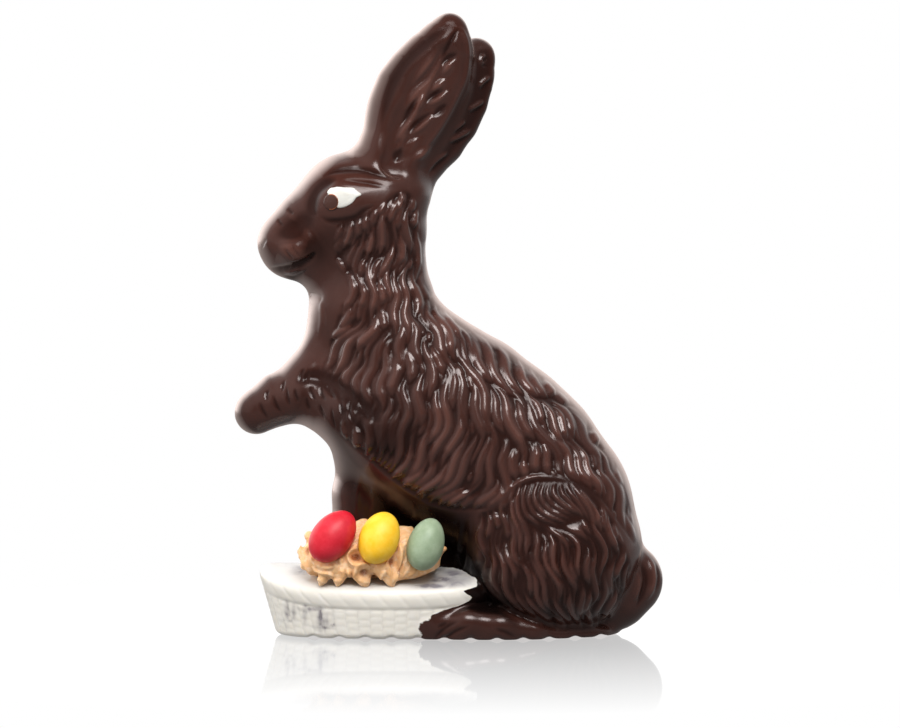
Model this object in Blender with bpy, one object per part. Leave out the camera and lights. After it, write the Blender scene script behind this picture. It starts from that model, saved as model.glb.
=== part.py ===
"""Chocolate easter bunny on a white chocolate basket, with piped cream and
three sugar eggs.

A moulded confectioner's figure, 220 mm tall.  It sits up facing -X, one pair
of arms held out over the basket.  +Z is up, the joint of the two mould halves
is the plane Y = 0 and the origin is on the ground under the figure.

The chocolate body is made as a confectioner's modeller would block it out:
each limb is a run of balls, every pair of neighbouring balls is closed by its
convex hull, and the runs are fused, smoothed and reduced by modifiers.  The
basket, the eyes and the ground are then cut from it.
"""
import math

import bmesh
import bpy
from mathutils import Matrix, Vector

for old in list(bpy.data.objects):
    bpy.data.objects.remove(old, do_unlink=True)

MM = 0.001

# ------------------------------------------------------------ main dimensions
GAP = 0.3 * MM              # clearance between touching pieces
FUSE_VOXEL = 1.0 * MM       # grid that fuses the runs of balls
FUSE_SMOOTH = 10            # smoothing passes over the fused body
FUSE_ALLOWANCE = 0.5        # mm added to every ball for what smoothing takes off
BODY_RATIO = 0.0285         # share of the fused faces that is kept

# Runs of balls, in millimetres.  Each ball: x, z, radius in side view, half
# depth along Y.  "round" is the exponent of the section (2 is an ellipse).
# "y" is the run's offset from the mould joint, "mirror" makes it on both sides.
LIMBS = {
    "rump": dict(round=2.3, balls=[(2, 75, 33.3, 28), (14, 64.5, 33.8, 29), (21.5, 57, 34, 29.5), (31, 46, 32.5, 29), (34.5, 32, 32.3, 28)]),
    "torso": dict(round=2.5, balls=[(-23.5, 112, 18, 18.5), (-15.5, 96, 24, 25), (-14, 76.5, 29.5, 28.5), (0, 65.5, 28.5, 28.5)]),
    "neck": dict(round=2.2, balls=[(-27, 140, 18, 17.5), (-28, 117, 21, 19.5), (-25, 108, 20, 20)]),
    "head": dict(round=2.1, balls=[(-27.5, 150.5, 18, 18), (-35, 151, 19.5, 18.5), (-46, 141.5, 18, 15), (-55.5, 138.5, 12.5, 11)]),
    "muzzle": dict(round=2.2, balls=[(-60, 139.5, 7.5, 11.5), (-54, 138, 9, 14), (-50.5, 137, 6.5, 14.5)]),
    "chest": dict(round=2.2, balls=[(-36, 120.5, 7.5, 7.5), (-46.5, 89, 12.5, 13), (-33.5, 88, 15, 18)]),
    "arm": dict(round=2.2, balls=[(-69, 78.5, 7.3, 8), (-61, 84, 8.3, 9), (-49.5, 87.5, 10.5, 11), (-31, 82.5, 16.5, 20)]),
    "forearm": dict(round=2.4, balls=[(-68, 79, 6.5, 8.6), (-52, 82, 7.5, 13), (-38, 77, 9.5, 21.5), (-24, 71, 12, 28.5)]),
    "foreleg": dict(round=2.2, balls=[(-26, 72, 12, 15), (-30.5, 50, 11, 13), (-31.5, 30, 11, 13), (-31.5, 15, 12, 14)]),
    "belly_web": dict(round=2.5, balls=[(-20, 35, 14, 6.5), (0, 35, 20, 7.5), (15, 20, 18, 12)]),
    "thigh": dict(round=3.2, balls=[(31, 38, 28, 33), (33, 29, 29, 34.5)]),
    "foot": dict(round=2.2, y=19, mirror=True, balls=[(-8, 5, 5.5, 7.5), (6, 6, 6.5, 9), (18, 4.5, 5.5, 8.5), (31, 2, 3.2, 7)]),
    "tail": dict(round=2.0, balls=[(62, 19, 13.6, 11), (58, 15, 13.7, 11)]),
    "haunch": dict(round=2.4, balls=[(42, 44, 20, 28.5), (46, 30, 19.5, 29.5), (45, 21, 16, 29)]),
    "ear_root": dict(round=2.2, balls=[(-28, 167, 6.5, 8.5), (-25, 158, 12, 14), (-15, 157.5, 7.5, 12)]),
    "ear_left": dict(round=2.0, y=-4.8, balls=[(0, 214.4, 5.6, 5), (-2, 208, 10, 6.4), (-6.5, 199, 13.5, 7.4), (-11.5, 191, 14.7, 8), (-15, 184, 14, 8.4), (-21.5, 169, 11.7, 9), (-23.5, 160, 10, 9.4)]),
    "ear_right": dict(round=2.0, y=4.8, balls=[(9.2, 205, 6.8, 5.4), (5.6, 199, 10, 6.8), (2, 190, 10.9, 7.6), (-0.3, 183, 10.1, 8), (-5.6, 175.5, 10.2, 8.4), (-9, 170, 8.6, 8.8), (-14, 157.5, 6.2, 9.2)]),
}

# Scooped face of each ear: y of the scoop, balls as above
SCOOPS = {
    "scoop_left": dict(round=2.2, y=-13.6, balls=[(-1.5, 204, 5.2, 3.4), (-6.2, 193, 9.4, 2.9), (-12.5, 178, 8.8, 2.6), (-19, 167, 5.2, 2.2)]),
    "scoop_right": dict(round=2.2, y=13.6, balls=[(7, 199, 3.5, 3.2), (3, 189, 6, 2.9), (-2, 180, 5.5, 2.6), (-6.5, 172, 3.5, 2.3)]),
}

# Plinth under the figure, narrower where the basket stands on it
PLINTH_X, PLINTH_LEFT, PLINTH_RIGHT = -8 * MM, 49.5 * MM, 67 * MM
PLINTH_HALF_DEPTH, PLINTH_FRONT_DEPTH, PLINTH_TOP = 28 * MM, 23.5 * MM, 4.2 * MM

# Basket: a boat-shaped tub that flares upwards, highest along the mould joint
TUB_X = -22 * MM
TUB_FOOT_A, TUB_FLARE_A = 39.5 * MM, 0.283
TUB_FOOT_B, TUB_FLARE_B = 25.5 * MM, 0.25
TUB_ROUND = 2.5             # exponent of the plan
TUB_RIDGE_Z, TUB_RIM_Z = 25.2 * MM, 18.0 * MM
TUB_FALL = 1.4              # how the top falls from ridge to rim
ROPE_WIDTH, ROPE_RELIEF = 7.0 * MM, 0.9 * MM
TUB_SEGMENTS = 64
WHITE_END_TOP_X, WHITE_END_FOOT_X = 10 * MM, -9 * MM   # where the white chocolate ends

# Eyes: one white lens let into each side of the head
EYE_X, EYE_Z = -37.2 * MM, 154.6 * MM
EYE_HALF_LENGTH, EYE_HALF_HEIGHT, EYE_HALF_THICK = 6.2 * MM, 3.5 * MM, 1.6 * MM
EYE_Y = 17.0 * MM
EYE_TILT = math.radians(8)

# Sugar eggs: centre x, y, z, half length, half width (mm), lean (degrees)
EGGS = {
    "egg_red": (-40.9, -29.5, 36.6, 10.2, 7.1, 39),
    "egg_yellow": (-24.6, -30.0, 36.0, 9.6, 6.9, 22),
    "egg_green": (-8.4, -29.0, 33.7, 9.4, 6.4, 16),
}

# Piped cream: star-tip kisses.  Foot x, y, z, tip x, y, z, foot radius (mm)
CREAM_KISSES = [
    (-43, -18, 24, -53, -23, 30, 8.0), (-42, -17, 30, -51, -18, 37.5, 7.5), (-42, -19, 24, -45.5, -29, 18.8, 7.5), (-36, -19, 24, -38.5, -30, 18.2, 7.0),
    (-29, -19, 24, -29, -30.5, 18.2, 7.5), (-20, -19, 25, -20, -30.5, 18.2, 8.0), (-13, -18, 26, -7, -27, 22, 7.5), (-10, -17, 28, -2.5, -24, 26.5, 7.0),
    (-11, -17, 30, -1, -20, 32, 7.0), (-33, -17, 31, -33, -18, 42, 8.0), (-27, -17, 31, -27, -17.5, 42.5, 7.5), (-16, -17, 31, -14, -17.5, 41.5, 8.0),
    (-38, -18, 28, -37, -27, 30, 9.0), (-31, -18, 27, -33, -30, 27.5, 7.5), (-18, -18, 28, -17, -28, 30, 9.0), (-9, -16, 27, -9, -25, 29, 7.0),
]
CREAM_RIDGES, CREAM_RIDGE_DEPTH = 7, 0.20
CREAM_VOXEL, CREAM_RATIO = 0.8 * MM, 0.075


# ------------------------------------------------------------------- helpers
def material(name, colour, roughness):
    mat = bpy.data.materials.new(name)
    mat.use_nodes = True
    shader = mat.node_tree.nodes["Principled BSDF"]
    shader.inputs["Base Color"].default_value = (*colour, 1.0)
    shader.inputs["Roughness"].default_value = roughness
    shader.inputs["Metallic"].default_value = 0.0
    return mat


def add_object(name, bm, mat=None, location=(0, 0, 0), rotation=(0, 0, 0)):
    """Turns a bmesh into an object with outward faces."""
    bmesh.ops.recalc_face_normals(bm, faces=bm.faces)
    mesh = bpy.data.meshes.new(name)
    bm.to_mesh(mesh)
    bm.free()
    if mat:
        mesh.materials.append(mat)
    ob = bpy.data.objects.new(name, mesh)
    ob.location, ob.rotation_euler = location, rotation
    bpy.context.collection.objects.link(ob)
    return ob


def as_cutter(ob):
    ob.hide_render = True
    ob.display_type = "WIRE"
    return ob


def cut(ob, cutter, operation="DIFFERENCE"):
    mod = ob.modifiers.new(cutter.name, "BOOLEAN")
    mod.operation = operation
    mod.object = cutter
    mod.solver = "EXACT"


def power(value, exponent):
    return math.copysign(abs(value) ** exponent, value)


def ball_points(x, z, radius, depth, yc, exponent, around=28, rings=14):
    """A ball turned about an axis along Y, its section a superellipse."""
    for i in range(rings + 1):
        lat = math.pi * (i / rings - 0.5)
        ring = radius * power(math.cos(lat), 2 / exponent)
        y = yc + depth * power(math.sin(lat), 2 / exponent)
        count = 1 if i in (0, rings) else around
        for j in range(count):
            a = 2 * math.pi * j / around
            yield Vector((x + ring * math.cos(a), y, z + ring * math.sin(a))) * MM


def hull_into(bm, points):
    """Adds the convex hull of the points as one closed shell."""
    part = bmesh.new()
    verts = [part.verts.new(p) for p in points]
    found = bmesh.ops.convex_hull(part, input=verts)
    loose = [v for v in found["geom_interior"] if isinstance(v, bmesh.types.BMVert)]
    bmesh.ops.delete(part, geom=loose, context="VERTS")
    bmesh.ops.recalc_face_normals(part, faces=part.faces)
    mesh = bpy.data.meshes.new("hull")
    part.to_mesh(mesh)
    part.free()
    bm.from_mesh(mesh)
    bpy.data.meshes.remove(mesh)


def limb_into(bm, round, balls, y=0.0, mirror=False, grow=0.0):
    for side in ((1, -1) if mirror else (1,)):
        for first, second in zip(balls[:-1], balls[1:]):
            points = []
            for x, z, radius, depth in (first, second):
                points += ball_points(x, z, radius + grow, depth + grow, y * side, round)
            hull_into(bm, points)


def loft(bm, rings, top_centre, bottom_centre):
    """Closes a stack of equal rings, with a fan at each end."""
    loops = [[bm.verts.new(p) for p in ring] for ring in rings]
    n = len(loops[0])
    for low, high in zip(loops[:-1], loops[1:]):
        for i in range(n):
            bm.faces.new((low[i], low[(i + 1) % n], high[(i + 1) % n], high[i]))
    bm.faces.new(list(reversed(loops[0]))) if bottom_centre is None else None
    top = bm.verts.new(top_centre)
    for i in range(n):
        bm.faces.new((loops[-1][i], loops[-1][(i + 1) % n], top))


def tub_top(y, grow):
    return TUB_RIDGE_Z - (TUB_RIDGE_Z - TUB_RIM_Z) * (abs(y) / (30 * MM)) ** TUB_FALL + grow


def tub_mesh(grow=0.0, floor=0.0, segments=TUB_SEGMENTS):
    """The basket: foot, side, rope under the rim, and the crowned top."""
    bm = bmesh.new()
    rope_levels = [0.0, 0.12, 0.5, 0.88, 1.0]
    rings = []

    def plan(angle, z, out):
        a = TUB_FOOT_A + TUB_FLARE_A * z + grow + out
        b = TUB_FOOT_B + TUB_FLARE_B * z + grow + out
        return (TUB_X + a * power(math.cos(angle), 2 / TUB_ROUND), b * power(math.sin(angle), 2 / TUB_ROUND))

    def ring(level, out_of):
        points = []
        for i in range(segments):
            angle = 2 * math.pi * i / segments
            _, y = plan(angle, TUB_RIM_Z, 0)
            rim = tub_top(y, grow) - 0.6 * MM
            z = level(rim)
            x, y = plan(angle, z, out_of(angle, z, rim))
            points.append((x, y, z))
        return points

    shrink = -1.2 * MM
    rings.append(ring(lambda rim: floor, lambda a, z, rim: shrink))
    rings.append(ring(lambda rim: 1.4 * MM, lambda a, z, rim: 0.0))
    rings.append(ring(lambda rim: 0.5 * (rim - ROPE_WIDTH), lambda a, z, rim: 0.0))
    for t in rope_levels:
        def out(angle, z, rim, t=t):
            return ROPE_RELIEF * math.sin(math.pi * t) ** 0.6 if 0 < t < 1 else 0.0
        rings.append(ring(lambda rim, t=t: rim - ROPE_WIDTH * (1 - t), out))
    for inset in (0.93, 0.7, 0.35):
        points = []
        for i in range(segments):
            angle = 2 * math.pi * i / segments
            x, y = plan(angle, TUB_RIM_Z, 0)
            x, y = TUB_X + (x - TUB_X) * inset, y * inset
            points.append((x, y, tub_top(y, grow)))
        rings.append(points)
    loft(bm, rings, (TUB_X, 0, TUB_RIDGE_Z + grow), None)
    return bm


def white_end_mesh(shift):
    """A block over all that lies beyond the end of the white chocolate."""
    bm = bmesh.new()
    z0, z1 = -10 * MM, 60 * MM
    slope = (WHITE_END_TOP_X - WHITE_END_FOOT_X) / (17 * MM)
    def edge(z):
        return WHITE_END_FOOT_X + slope * min(max(z, 0), 20 * MM) + shift
    outline = [(edge(0), z0), (edge(0), 1 * MM), (edge(17 * MM), 17 * MM), (edge(20 * MM), z1), (120 * MM, z1), (120 * MM, z0)]
    near = [bm.verts.new((x, -60 * MM, z)) for x, z in outline]
    face = bm.faces.new(near)
    moved = bmesh.ops.extrude_face_region(bm, geom=[face])
    far = [v for v in moved["geom"] if isinstance(v, bmesh.types.BMVert)]
    bmesh.ops.translate(bm, verts=far, vec=(0, 120 * MM, 0))
    return bm


# ------------------------------------------------------------------ materials
dark_chocolate = material("dark_chocolate", (0.055, 0.027, 0.022), 0.28)
white_chocolate = material("white_chocolate", (0.78, 0.76, 0.68), 0.35)
praline_cream = material("praline_cream", (0.73, 0.47, 0.28), 0.55)
sugar_red = material("sugar_red", (0.68, 0.02, 0.04), 0.35)
sugar_yellow = material("sugar_yellow", (0.95, 0.62, 0.03), 0.35)
sugar_green = material("sugar_green", (0.28, 0.40, 0.26), 0.35)

# ------------------------------------------------------------------- the body
bm = bmesh.new()
for name, limb in LIMBS.items():
    limb_into(bm, grow=FUSE_ALLOWANCE, **limb)

# plinth: one outline, drawn round and pulled up
def plinth_depth(x):
    share = min(max((x + 12 * MM) / (26 * MM), 0), 1)
    return PLINTH_FRONT_DEPTH + (PLINTH_HALF_DEPTH - PLINTH_FRONT_DEPTH) * share


plinth = bmesh.new()
outline = []
for i in range(72):
    a = 2 * math.pi * i / 72
    reach = PLINTH_RIGHT if math.cos(a) > 0 else PLINTH_LEFT
    outline.append(plinth.verts.new((PLINTH_X + reach * power(math.cos(a), 2 / 2.2), plinth_depth(PLINTH_X + reach * math.cos(a)) * power(math.sin(a), 2 / 2.2), -4 * MM)))
slab = bmesh.ops.extrude_face_region(plinth, geom=[plinth.faces.new(outline)])
bmesh.ops.translate(plinth, verts=[v for v in slab["geom"] if isinstance(v, bmesh.types.BMVert)], vec=(0, 0, PLINTH_TOP + 4 * MM))
bmesh.ops.recalc_face_normals(plinth, faces=plinth.faces)
mesh = bpy.data.meshes.new("plinth")
plinth.to_mesh(mesh)
plinth.free()
bm.from_mesh(mesh)
bpy.data.meshes.remove(mesh)

# the dark end of the basket belongs to the body
dark_tub = tub_mesh(floor=-4 * MM)
bmesh.ops.recalc_face_normals(dark_tub, faces=dark_tub.faces)
mesh = bpy.data.meshes.new("dark_tub")
dark_tub.to_mesh(mesh)
dark_tub.free()
bm.from_mesh(mesh)
bpy.data.meshes.remove(mesh)

bunny = add_object("chocolate_bunny", bm, dark_chocolate)
fuse = bunny.modifiers.new("fuse", "REMESH")
fuse.mode = "VOXEL"
fuse.voxel_size = FUSE_VOXEL
soften = bunny.modifiers.new("soften", "SMOOTH")
soften.factor = 0.5
soften.iterations = FUSE_SMOOTH
reduce = bunny.modifiers.new("reduce", "DECIMATE")
reduce.ratio = BODY_RATIO

ground = bmesh.new()
bmesh.ops.create_cube(ground, size=1.0, matrix=Matrix.Translation((0, 0, -15 * MM)) @ Matrix.Diagonal((0.4, 0.2, 30 * MM, 1)))
ground = as_cutter(add_object("cut_ground", ground))
cut(bunny, ground)

basket_room = as_cutter(add_object("cut_basket", tub_mesh(grow=GAP + ROPE_RELIEF * 0.4, floor=-6 * MM)))
white_stop = as_cutter(add_object("cut_white_stop", white_end_mesh(GAP)))
cut(basket_room, white_stop)
cut(bunny, basket_room)

for name, scoop in SCOOPS.items():
    bm = bmesh.new()
    limb_into(bm, **scoop)
    scoop = as_cutter(add_object(name, bm))
    fused = scoop.modifiers.new("fuse", "REMESH")
    fused.mode = "VOXEL"
    fused.voxel_size = 0.8 * MM
    thinned = scoop.modifiers.new("reduce", "DECIMATE")
    thinned.ratio = 0.08
    cut(bunny, scoop)

# ----------------------------------------------------------------- the basket
basket = add_object("basket", tub_mesh(), white_chocolate)
white_end = as_cutter(add_object("cut_white_end", white_end_mesh(0.0)))
cut(basket, white_end)

# ------------------------------------------------------------------- the eyes
def eye_mesh(grow):
    bm = bmesh.new()
    bmesh.ops.create_uvsphere(bm, u_segments=16, v_segments=6, radius=1.0)
    size = Vector((EYE_HALF_LENGTH, EYE_HALF_HEIGHT, EYE_HALF_THICK))
    for v in bm.verts:
        v.co = Vector((v.co.x * (size.x + grow), v.co.y * (size.y + grow), v.co.z * (size.z + grow)))
    return bm


for side, word in ((-1, "left"), (1, "right")):
    turn = (math.radians(90), EYE_TILT, math.radians(-7 * side))
    place = (EYE_X, side * EYE_Y, EYE_Z)
    add_object("eye_white_" + word, eye_mesh(0.0), white_chocolate, place, turn)
    socket = as_cutter(add_object("cut_eye_" + word, eye_mesh(GAP), None, place, turn))
    cut(bunny, socket)


# ------------------------------------------------------------------ sugar eggs
def egg_mesh(half_length, half_width, grow=0.0, across=16, along=9):
    """An egg standing on its blunt end, a little narrower towards the top."""
    bm = bmesh.new()
    bmesh.ops.create_uvsphere(bm, u_segments=across, v_segments=along, radius=1.0)
    for v in bm.verts:
        taper = 1.0 - 0.07 * v.co.z
        v.co = Vector((v.co.x * (half_width * MM + grow) * taper, v.co.y * (half_width * MM + grow) * taper, v.co.z * (half_length * MM + grow)))
    return bm


egg_cutters = []
egg_materials = {"egg_red": sugar_red, "egg_yellow": sugar_yellow, "egg_green": sugar_green}
for name, (x, y, z, half_length, half_width, lean) in EGGS.items():
    place, turn = (x * MM, y * MM, z * MM), (math.radians(-12), math.radians(lean), 0)
    add_object(name, egg_mesh(half_length, half_width), egg_materials[name], place, turn)
    egg_cutters.append(as_cutter(add_object("cut_" + name, egg_mesh(half_length, half_width, GAP), None, place, turn)))

# ----------------------------------------------------------------- piped cream
def kiss_into(bm, foot, tip, radius):
    """One pressed star of cream, ribbed, drawn out to a tip and twisted."""
    foot, tip = Vector(foot), Vector(tip)
    axis = tip - foot
    frame = axis.to_track_quat("Z", "Y").to_matrix()
    length = axis.length
    rings = []
    for t, share in ((-0.5, 0.45), (-0.3, 0.85), (0.0, 1.0), (0.25, 0.9), (0.5, 0.66), (0.72, 0.42), (0.88, 0.22)):
        ring = []
        for i in range(CREAM_RIDGES * 4):
            a = 2 * math.pi * i / (CREAM_RIDGES * 4)
            r = radius * share * (1 + CREAM_RIDGE_DEPTH * math.cos(CREAM_RIDGES * a))
            twisted = a + 0.9 * t
            ring.append((foot + frame @ Vector((r * math.cos(twisted), r * math.sin(twisted), t * length))) * MM)
        rings.append(ring)
    part = bmesh.new()
    loft(part, rings, tip * MM, None)
    bmesh.ops.recalc_face_normals(part, faces=part.faces)
    mesh = bpy.data.meshes.new("kiss")
    part.to_mesh(mesh)
    part.free()
    bm.from_mesh(mesh)
    bpy.data.meshes.remove(mesh)


bm = bmesh.new()
for fx, fy, fz, tx, ty, tz, radius in CREAM_KISSES:
    kiss_into(bm, (fx, fy, fz), (tx, ty, tz), radius)
cream = add_object("piped_cream", bm, praline_cream)
fuse = cream.modifiers.new("fuse", "REMESH")
fuse.mode = "VOXEL"
fuse.voxel_size = CREAM_VOXEL
reduce = cream.modifiers.new("reduce", "DECIMATE")
reduce.ratio = CREAM_RATIO

# room for the leg and the belly behind the cream, the basket under it, the eggs in it
bm = bmesh.new()
for name in ("foreleg", "belly_web"):
    limb_into(bm, grow=1.3, **LIMBS[name])
leg_room = as_cutter(add_object("cut_leg", bm))
join = leg_room.modifiers.new("join", "REMESH")
join.mode = "VOXEL"
join.voxel_size = 1.5 * MM
thin = leg_room.modifiers.new("thin", "DECIMATE")
thin.ratio = 0.08
cut(cream, leg_room)
under = as_cutter(add_object("cut_under_cream", tub_mesh(grow=GAP + ROPE_RELIEF * 0.4, floor=-6 * MM)))
cut(cream, under)
for cutter in egg_cutters:
    cut(cream, cutter)

for ob in bpy.data.objects:
    if ob.type == "MESH":
        ob.data.shade_smooth()
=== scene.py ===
"""Looks of the chocolate easter bunny: the moulded body with its fur, ears,
face and woven basket as one fine mesh, the eyes, the piped cream and the
sugar eggs, and a plain pale floor with soft studio light."""
import bpy, bmesh, math
import numpy as np
from mathutils import Vector, Matrix, noise


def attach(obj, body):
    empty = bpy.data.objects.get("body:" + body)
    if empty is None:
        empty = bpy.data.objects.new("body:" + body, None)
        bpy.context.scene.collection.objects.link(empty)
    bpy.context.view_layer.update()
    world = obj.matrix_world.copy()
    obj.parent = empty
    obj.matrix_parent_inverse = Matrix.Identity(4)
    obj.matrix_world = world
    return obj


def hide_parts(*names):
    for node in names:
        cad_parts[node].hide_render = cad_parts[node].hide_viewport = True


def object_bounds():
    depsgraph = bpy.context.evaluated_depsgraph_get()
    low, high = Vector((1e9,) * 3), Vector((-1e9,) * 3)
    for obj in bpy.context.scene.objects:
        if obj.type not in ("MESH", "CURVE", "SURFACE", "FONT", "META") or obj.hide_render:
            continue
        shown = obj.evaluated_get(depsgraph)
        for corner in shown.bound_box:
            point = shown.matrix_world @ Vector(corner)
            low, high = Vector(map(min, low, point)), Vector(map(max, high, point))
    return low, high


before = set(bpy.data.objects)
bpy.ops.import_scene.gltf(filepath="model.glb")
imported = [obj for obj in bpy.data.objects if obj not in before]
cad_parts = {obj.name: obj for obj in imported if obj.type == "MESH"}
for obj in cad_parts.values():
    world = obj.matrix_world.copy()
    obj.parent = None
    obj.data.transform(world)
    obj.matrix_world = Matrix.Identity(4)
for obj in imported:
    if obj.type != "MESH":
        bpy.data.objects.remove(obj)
START = [list(p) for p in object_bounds()]
MM = 0.001
STEP = 2.2            # mm, grid of the first coarse surface; split twice afterwards
FLOOR_GLOW = 0.35     # light that the floor gives back
RIM = 0.90            # how pale the chocolate turns at the outline
rng = np.random.default_rng(11)

# ============================================================ 1. the form
# Runs of balls: x, z, radius in side view, half depth (mm).  The same limbs
# as the CAD body, blended here with soft fillets of the stated width.
LIMBS = [
    ("rump", 0.0, 2.3, 0, 0.0, [(2, 75, 33.3, 28), (14, 64.5, 33.8, 29), (21.5, 57, 34, 29.5), (31, 46, 32.5, 29), (34.5, 32, 32.3, 28)]),
    ("torso", 9.0, 2.5, 0, 0.0, [(-23.5, 112, 18, 18.5), (-15.5, 96, 24, 25), (-14, 76.5, 29.5, 28.5), (0, 65.5, 28.5, 28.5)]),
    ("neck", 7.0, 2.2, 0, 0.0, [(-27, 140, 18, 17.5), (-28, 117, 21, 19.5), (-25, 108, 20, 20)]),
    ("head", 7.0, 2.1, 0, 0.0, [(-27.5, 150.5, 18, 18), (-35, 151, 19.5, 18.5), (-46, 141.5, 18, 15), (-55.5, 138.5, 12.5, 11)]),
    ("chest", 7.0, 2.2, 0, 0.0, [(-36, 120.5, 7, 7), (-46.5, 89, 12.5, 13), (-33.5, 88, 15, 18)]),
    ("arm", 5.0, 2.2, 0, 0.0, [(-69, 78.5, 7.3, 8), (-61, 84, 8.3, 9), (-49.5, 87.5, 10.5, 11), (-31, 82.5, 16.5, 20)]),
    ("foreleg", 5.0, 2.2, 0, 0.0, [(-26, 72, 12, 15), (-30.5, 50, 11, 13), (-31.5, 30, 11, 13), (-31.5, 15, 12, 14)]),
    ("belly_web", 5.0, 2.5, 0, 0.0, [(-20, 35, 14, 6.5), (0, 35, 20, 7.5), (15, 20, 18, 12)]),
    ("haunch", 7.0, 2.4, 0, 0.0, [(42, 44, 20, 28.5), (46, 30, 19.5, 29.5), (45, 21, 16, 29)]),
    ("ear_root", 6.0, 2.2, 0, 0.0, [(-28, 167, 6.5, 8.5), (-25, 158, 12, 14), (-15, 157.5, 7.5, 12)]),
    ("ear_left", 3.0, 2.0, -1, -4.8, [(0, 214.4, 5.6, 5), (-2, 208, 10, 6.4), (-6.5, 199, 13.5, 7.4), (-11.5, 191, 14.7, 8), (-15, 184, 14, 8.4), (-21.5, 169, 11.7, 9), (-23.5, 160, 10, 9.4)]),
    ("ear_right", 4.0, 2.0, 1, 4.8, [(9.2, 205, 6.8, 5.4), (5.6, 199, 10, 6.8), (2, 190, 10.9, 7.6), (-0.3, 183, 10.1, 8), (-5.6, 175.5, 10.2, 8.4), (-9, 170, 8.6, 8.8), (-14, 157.5, 6.2, 9.2)]),
    ("forearm", 4.2, 2.3, 0, 0.0, [(-68, 79.5, 6.0, 8.6), (-52, 83.2, 7.0, 13), (-38, 77.4, 9.2, 21.5), (-24, 71, 12, 28.5)]),
    ("thigh", 3.4, 3.0, 0, 0.0, [(31, 38, 28, 32.6), (33, 31, 27.6, 34.0)]),
    ("muzzle", 2.2, 2.2, 0, 0.0, [(-60, 139.5, 7.5, 11.5), (-54, 138, 9, 14), (-50.5, 137, 6.5, 14.5)]),
    ("tail", 2.4, 2.0, 0, 0.0, [(62, 19, 13.6, 11), (58, 15, 13.7, 11)]),
    ("foot", 2.5, 2.2, 2, 19.0, [(-8, 5, 5.5, 7.5), (6, 5.6, 6.3, 9.3), (18, 4.6, 6.2, 9.3), (29, 3.0, 5.0, 7.5)]),
]
# scooped face of each ear: exponent, y, balls
SCOOPS = [
    (2.2, -13.6, [(-1.5, 204, 5.2, 3.4), (-6.2, 193, 9.4, 2.9), (-12.5, 178, 8.8, 2.6), (-19, 167, 5.2, 2.2)]),
    (2.2, 13.6, [(7, 199, 3.5, 3.2), (3, 189, 6, 2.9), (-2, 180, 5.5, 2.6), (-6.5, 172, 3.5, 2.3)]),
]
PLINTH = dict(x=-8.0, left=49.5, right=67.0, half=28.0, front=23.5, top=4.2)
TUB = dict(x=-22.0, a=39.5, flare_a=0.283, b=25.5, flare_b=0.25, n=2.5, ridge=25.2, rim=18.0, fall=1.4)
ROPE_WIDTH, ROPE_PITCH = 7.4, 7.3


def smin(a, b, k):
    if k <= 0:
        return np.minimum(a, b)
    h = np.clip(0.5 + 0.5 * (b - a) / k, 0, 1)
    return b * (1 - h) + a * h - k * h * (1 - h)


def smax(a, b, k):
    return -smin(-a, -b, k)


def limb(x, y, z, p, side, yc, balls, inner=2.0):
    yy = np.abs(np.abs(y) - yc) if side == 2 else np.abs(y - yc)
    best = None
    for (x0, z0, r0, h0), (x1, z1, r1, h1) in zip(balls[:-1], balls[1:]):
        dx, dz = x1 - x0, z1 - z0
        t = np.clip(((x - x0) * dx + (z - z0) * dz) / (dx * dx + dz * dz), 0, 1)
        d = np.hypot(x - x0 - t * dx, z - z0 - t * dz)
        r, h = r0 + (r1 - r0) * t, h0 + (h1 - h0) * t
        if p == 2.0:
            q = np.sqrt(d * d + (yy * r / h) ** 2)
        else:
            q = (d ** p + (yy * r / h) ** p + 1e-9) ** (1.0 / p)
        q = (q - r) * np.minimum(1.0, h / r)
        best = q if best is None else smin(best, q, inner)
    return best


def plinth(x, y, z):
    a = np.where(x < PLINTH["x"], PLINTH["left"], PLINTH["right"])
    half = PLINTH["front"] + (PLINTH["half"] - PLINTH["front"]) * np.clip((x + 12) / 26, 0, 1)
    q = (np.abs((x - PLINTH["x"]) / a) ** 2.2 + np.abs(y / half) ** 2.2 + 1e-9) ** (1 / 2.2)
    return smax((q - 1) * half, z - PLINTH["top"], 3.0)


def tub_top(y):
    return TUB["ridge"] - (TUB["ridge"] - TUB["rim"]) * (np.abs(y) / 30.0) ** TUB["fall"]


def tub(x, y, z):
    zz = np.clip(z, 0, 30)
    a, b = TUB["a"] + TUB["flare_a"] * zz, TUB["b"] + TUB["flare_b"] * zz
    q = (np.abs((x - TUB["x"]) / a) ** TUB["n"] + np.abs(y / b) ** TUB["n"] + 1e-9) ** (1 / TUB["n"])
    return smax(smax((q - 1) * b, (z - tub_top(y)) * 0.95, 4.2), 0.15 - z, 2.0)


def rabbit(x, y, z):
    f = None
    for name, k, p, side, yc, balls in LIMBS:
        c = limb(x, y, z, p, side, yc, balls)
        f = c if f is None else smin(f, c, k)
    for p, yc, balls in SCOOPS:
        f = smax(f, -limb(x, y, z, p, 0, yc, balls), 1.6)
    return smin(f, plinth(x, y, z), 2.5)


def figure(x, y, z):
    return smax(smin(rabbit(x, y, z), tub(x, y, z), 1.5), -z, 0.6)


# ==================================================== 2. surface of the form
def gradient(fn, P, e=0.02):
    x, y, z = P.T
    return np.stack([fn(x + e, y, z) - fn(x - e, y, z), fn(x, y + e, z) - fn(x, y - e, z), fn(x, y, z + e) - fn(x, y, z - e)], 1) / (2 * e)


def project(fn, P, n=2):
    for _ in range(n):
        g = gradient(fn, P)
        step = (fn(*P.T) / ((g * g).sum(1) + 1e-9))[:, None] * g
        P = P - step * np.minimum(1, 1.5 / np.maximum(np.linalg.norm(step, axis=1, keepdims=True), 1e-9))
    return P


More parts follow.
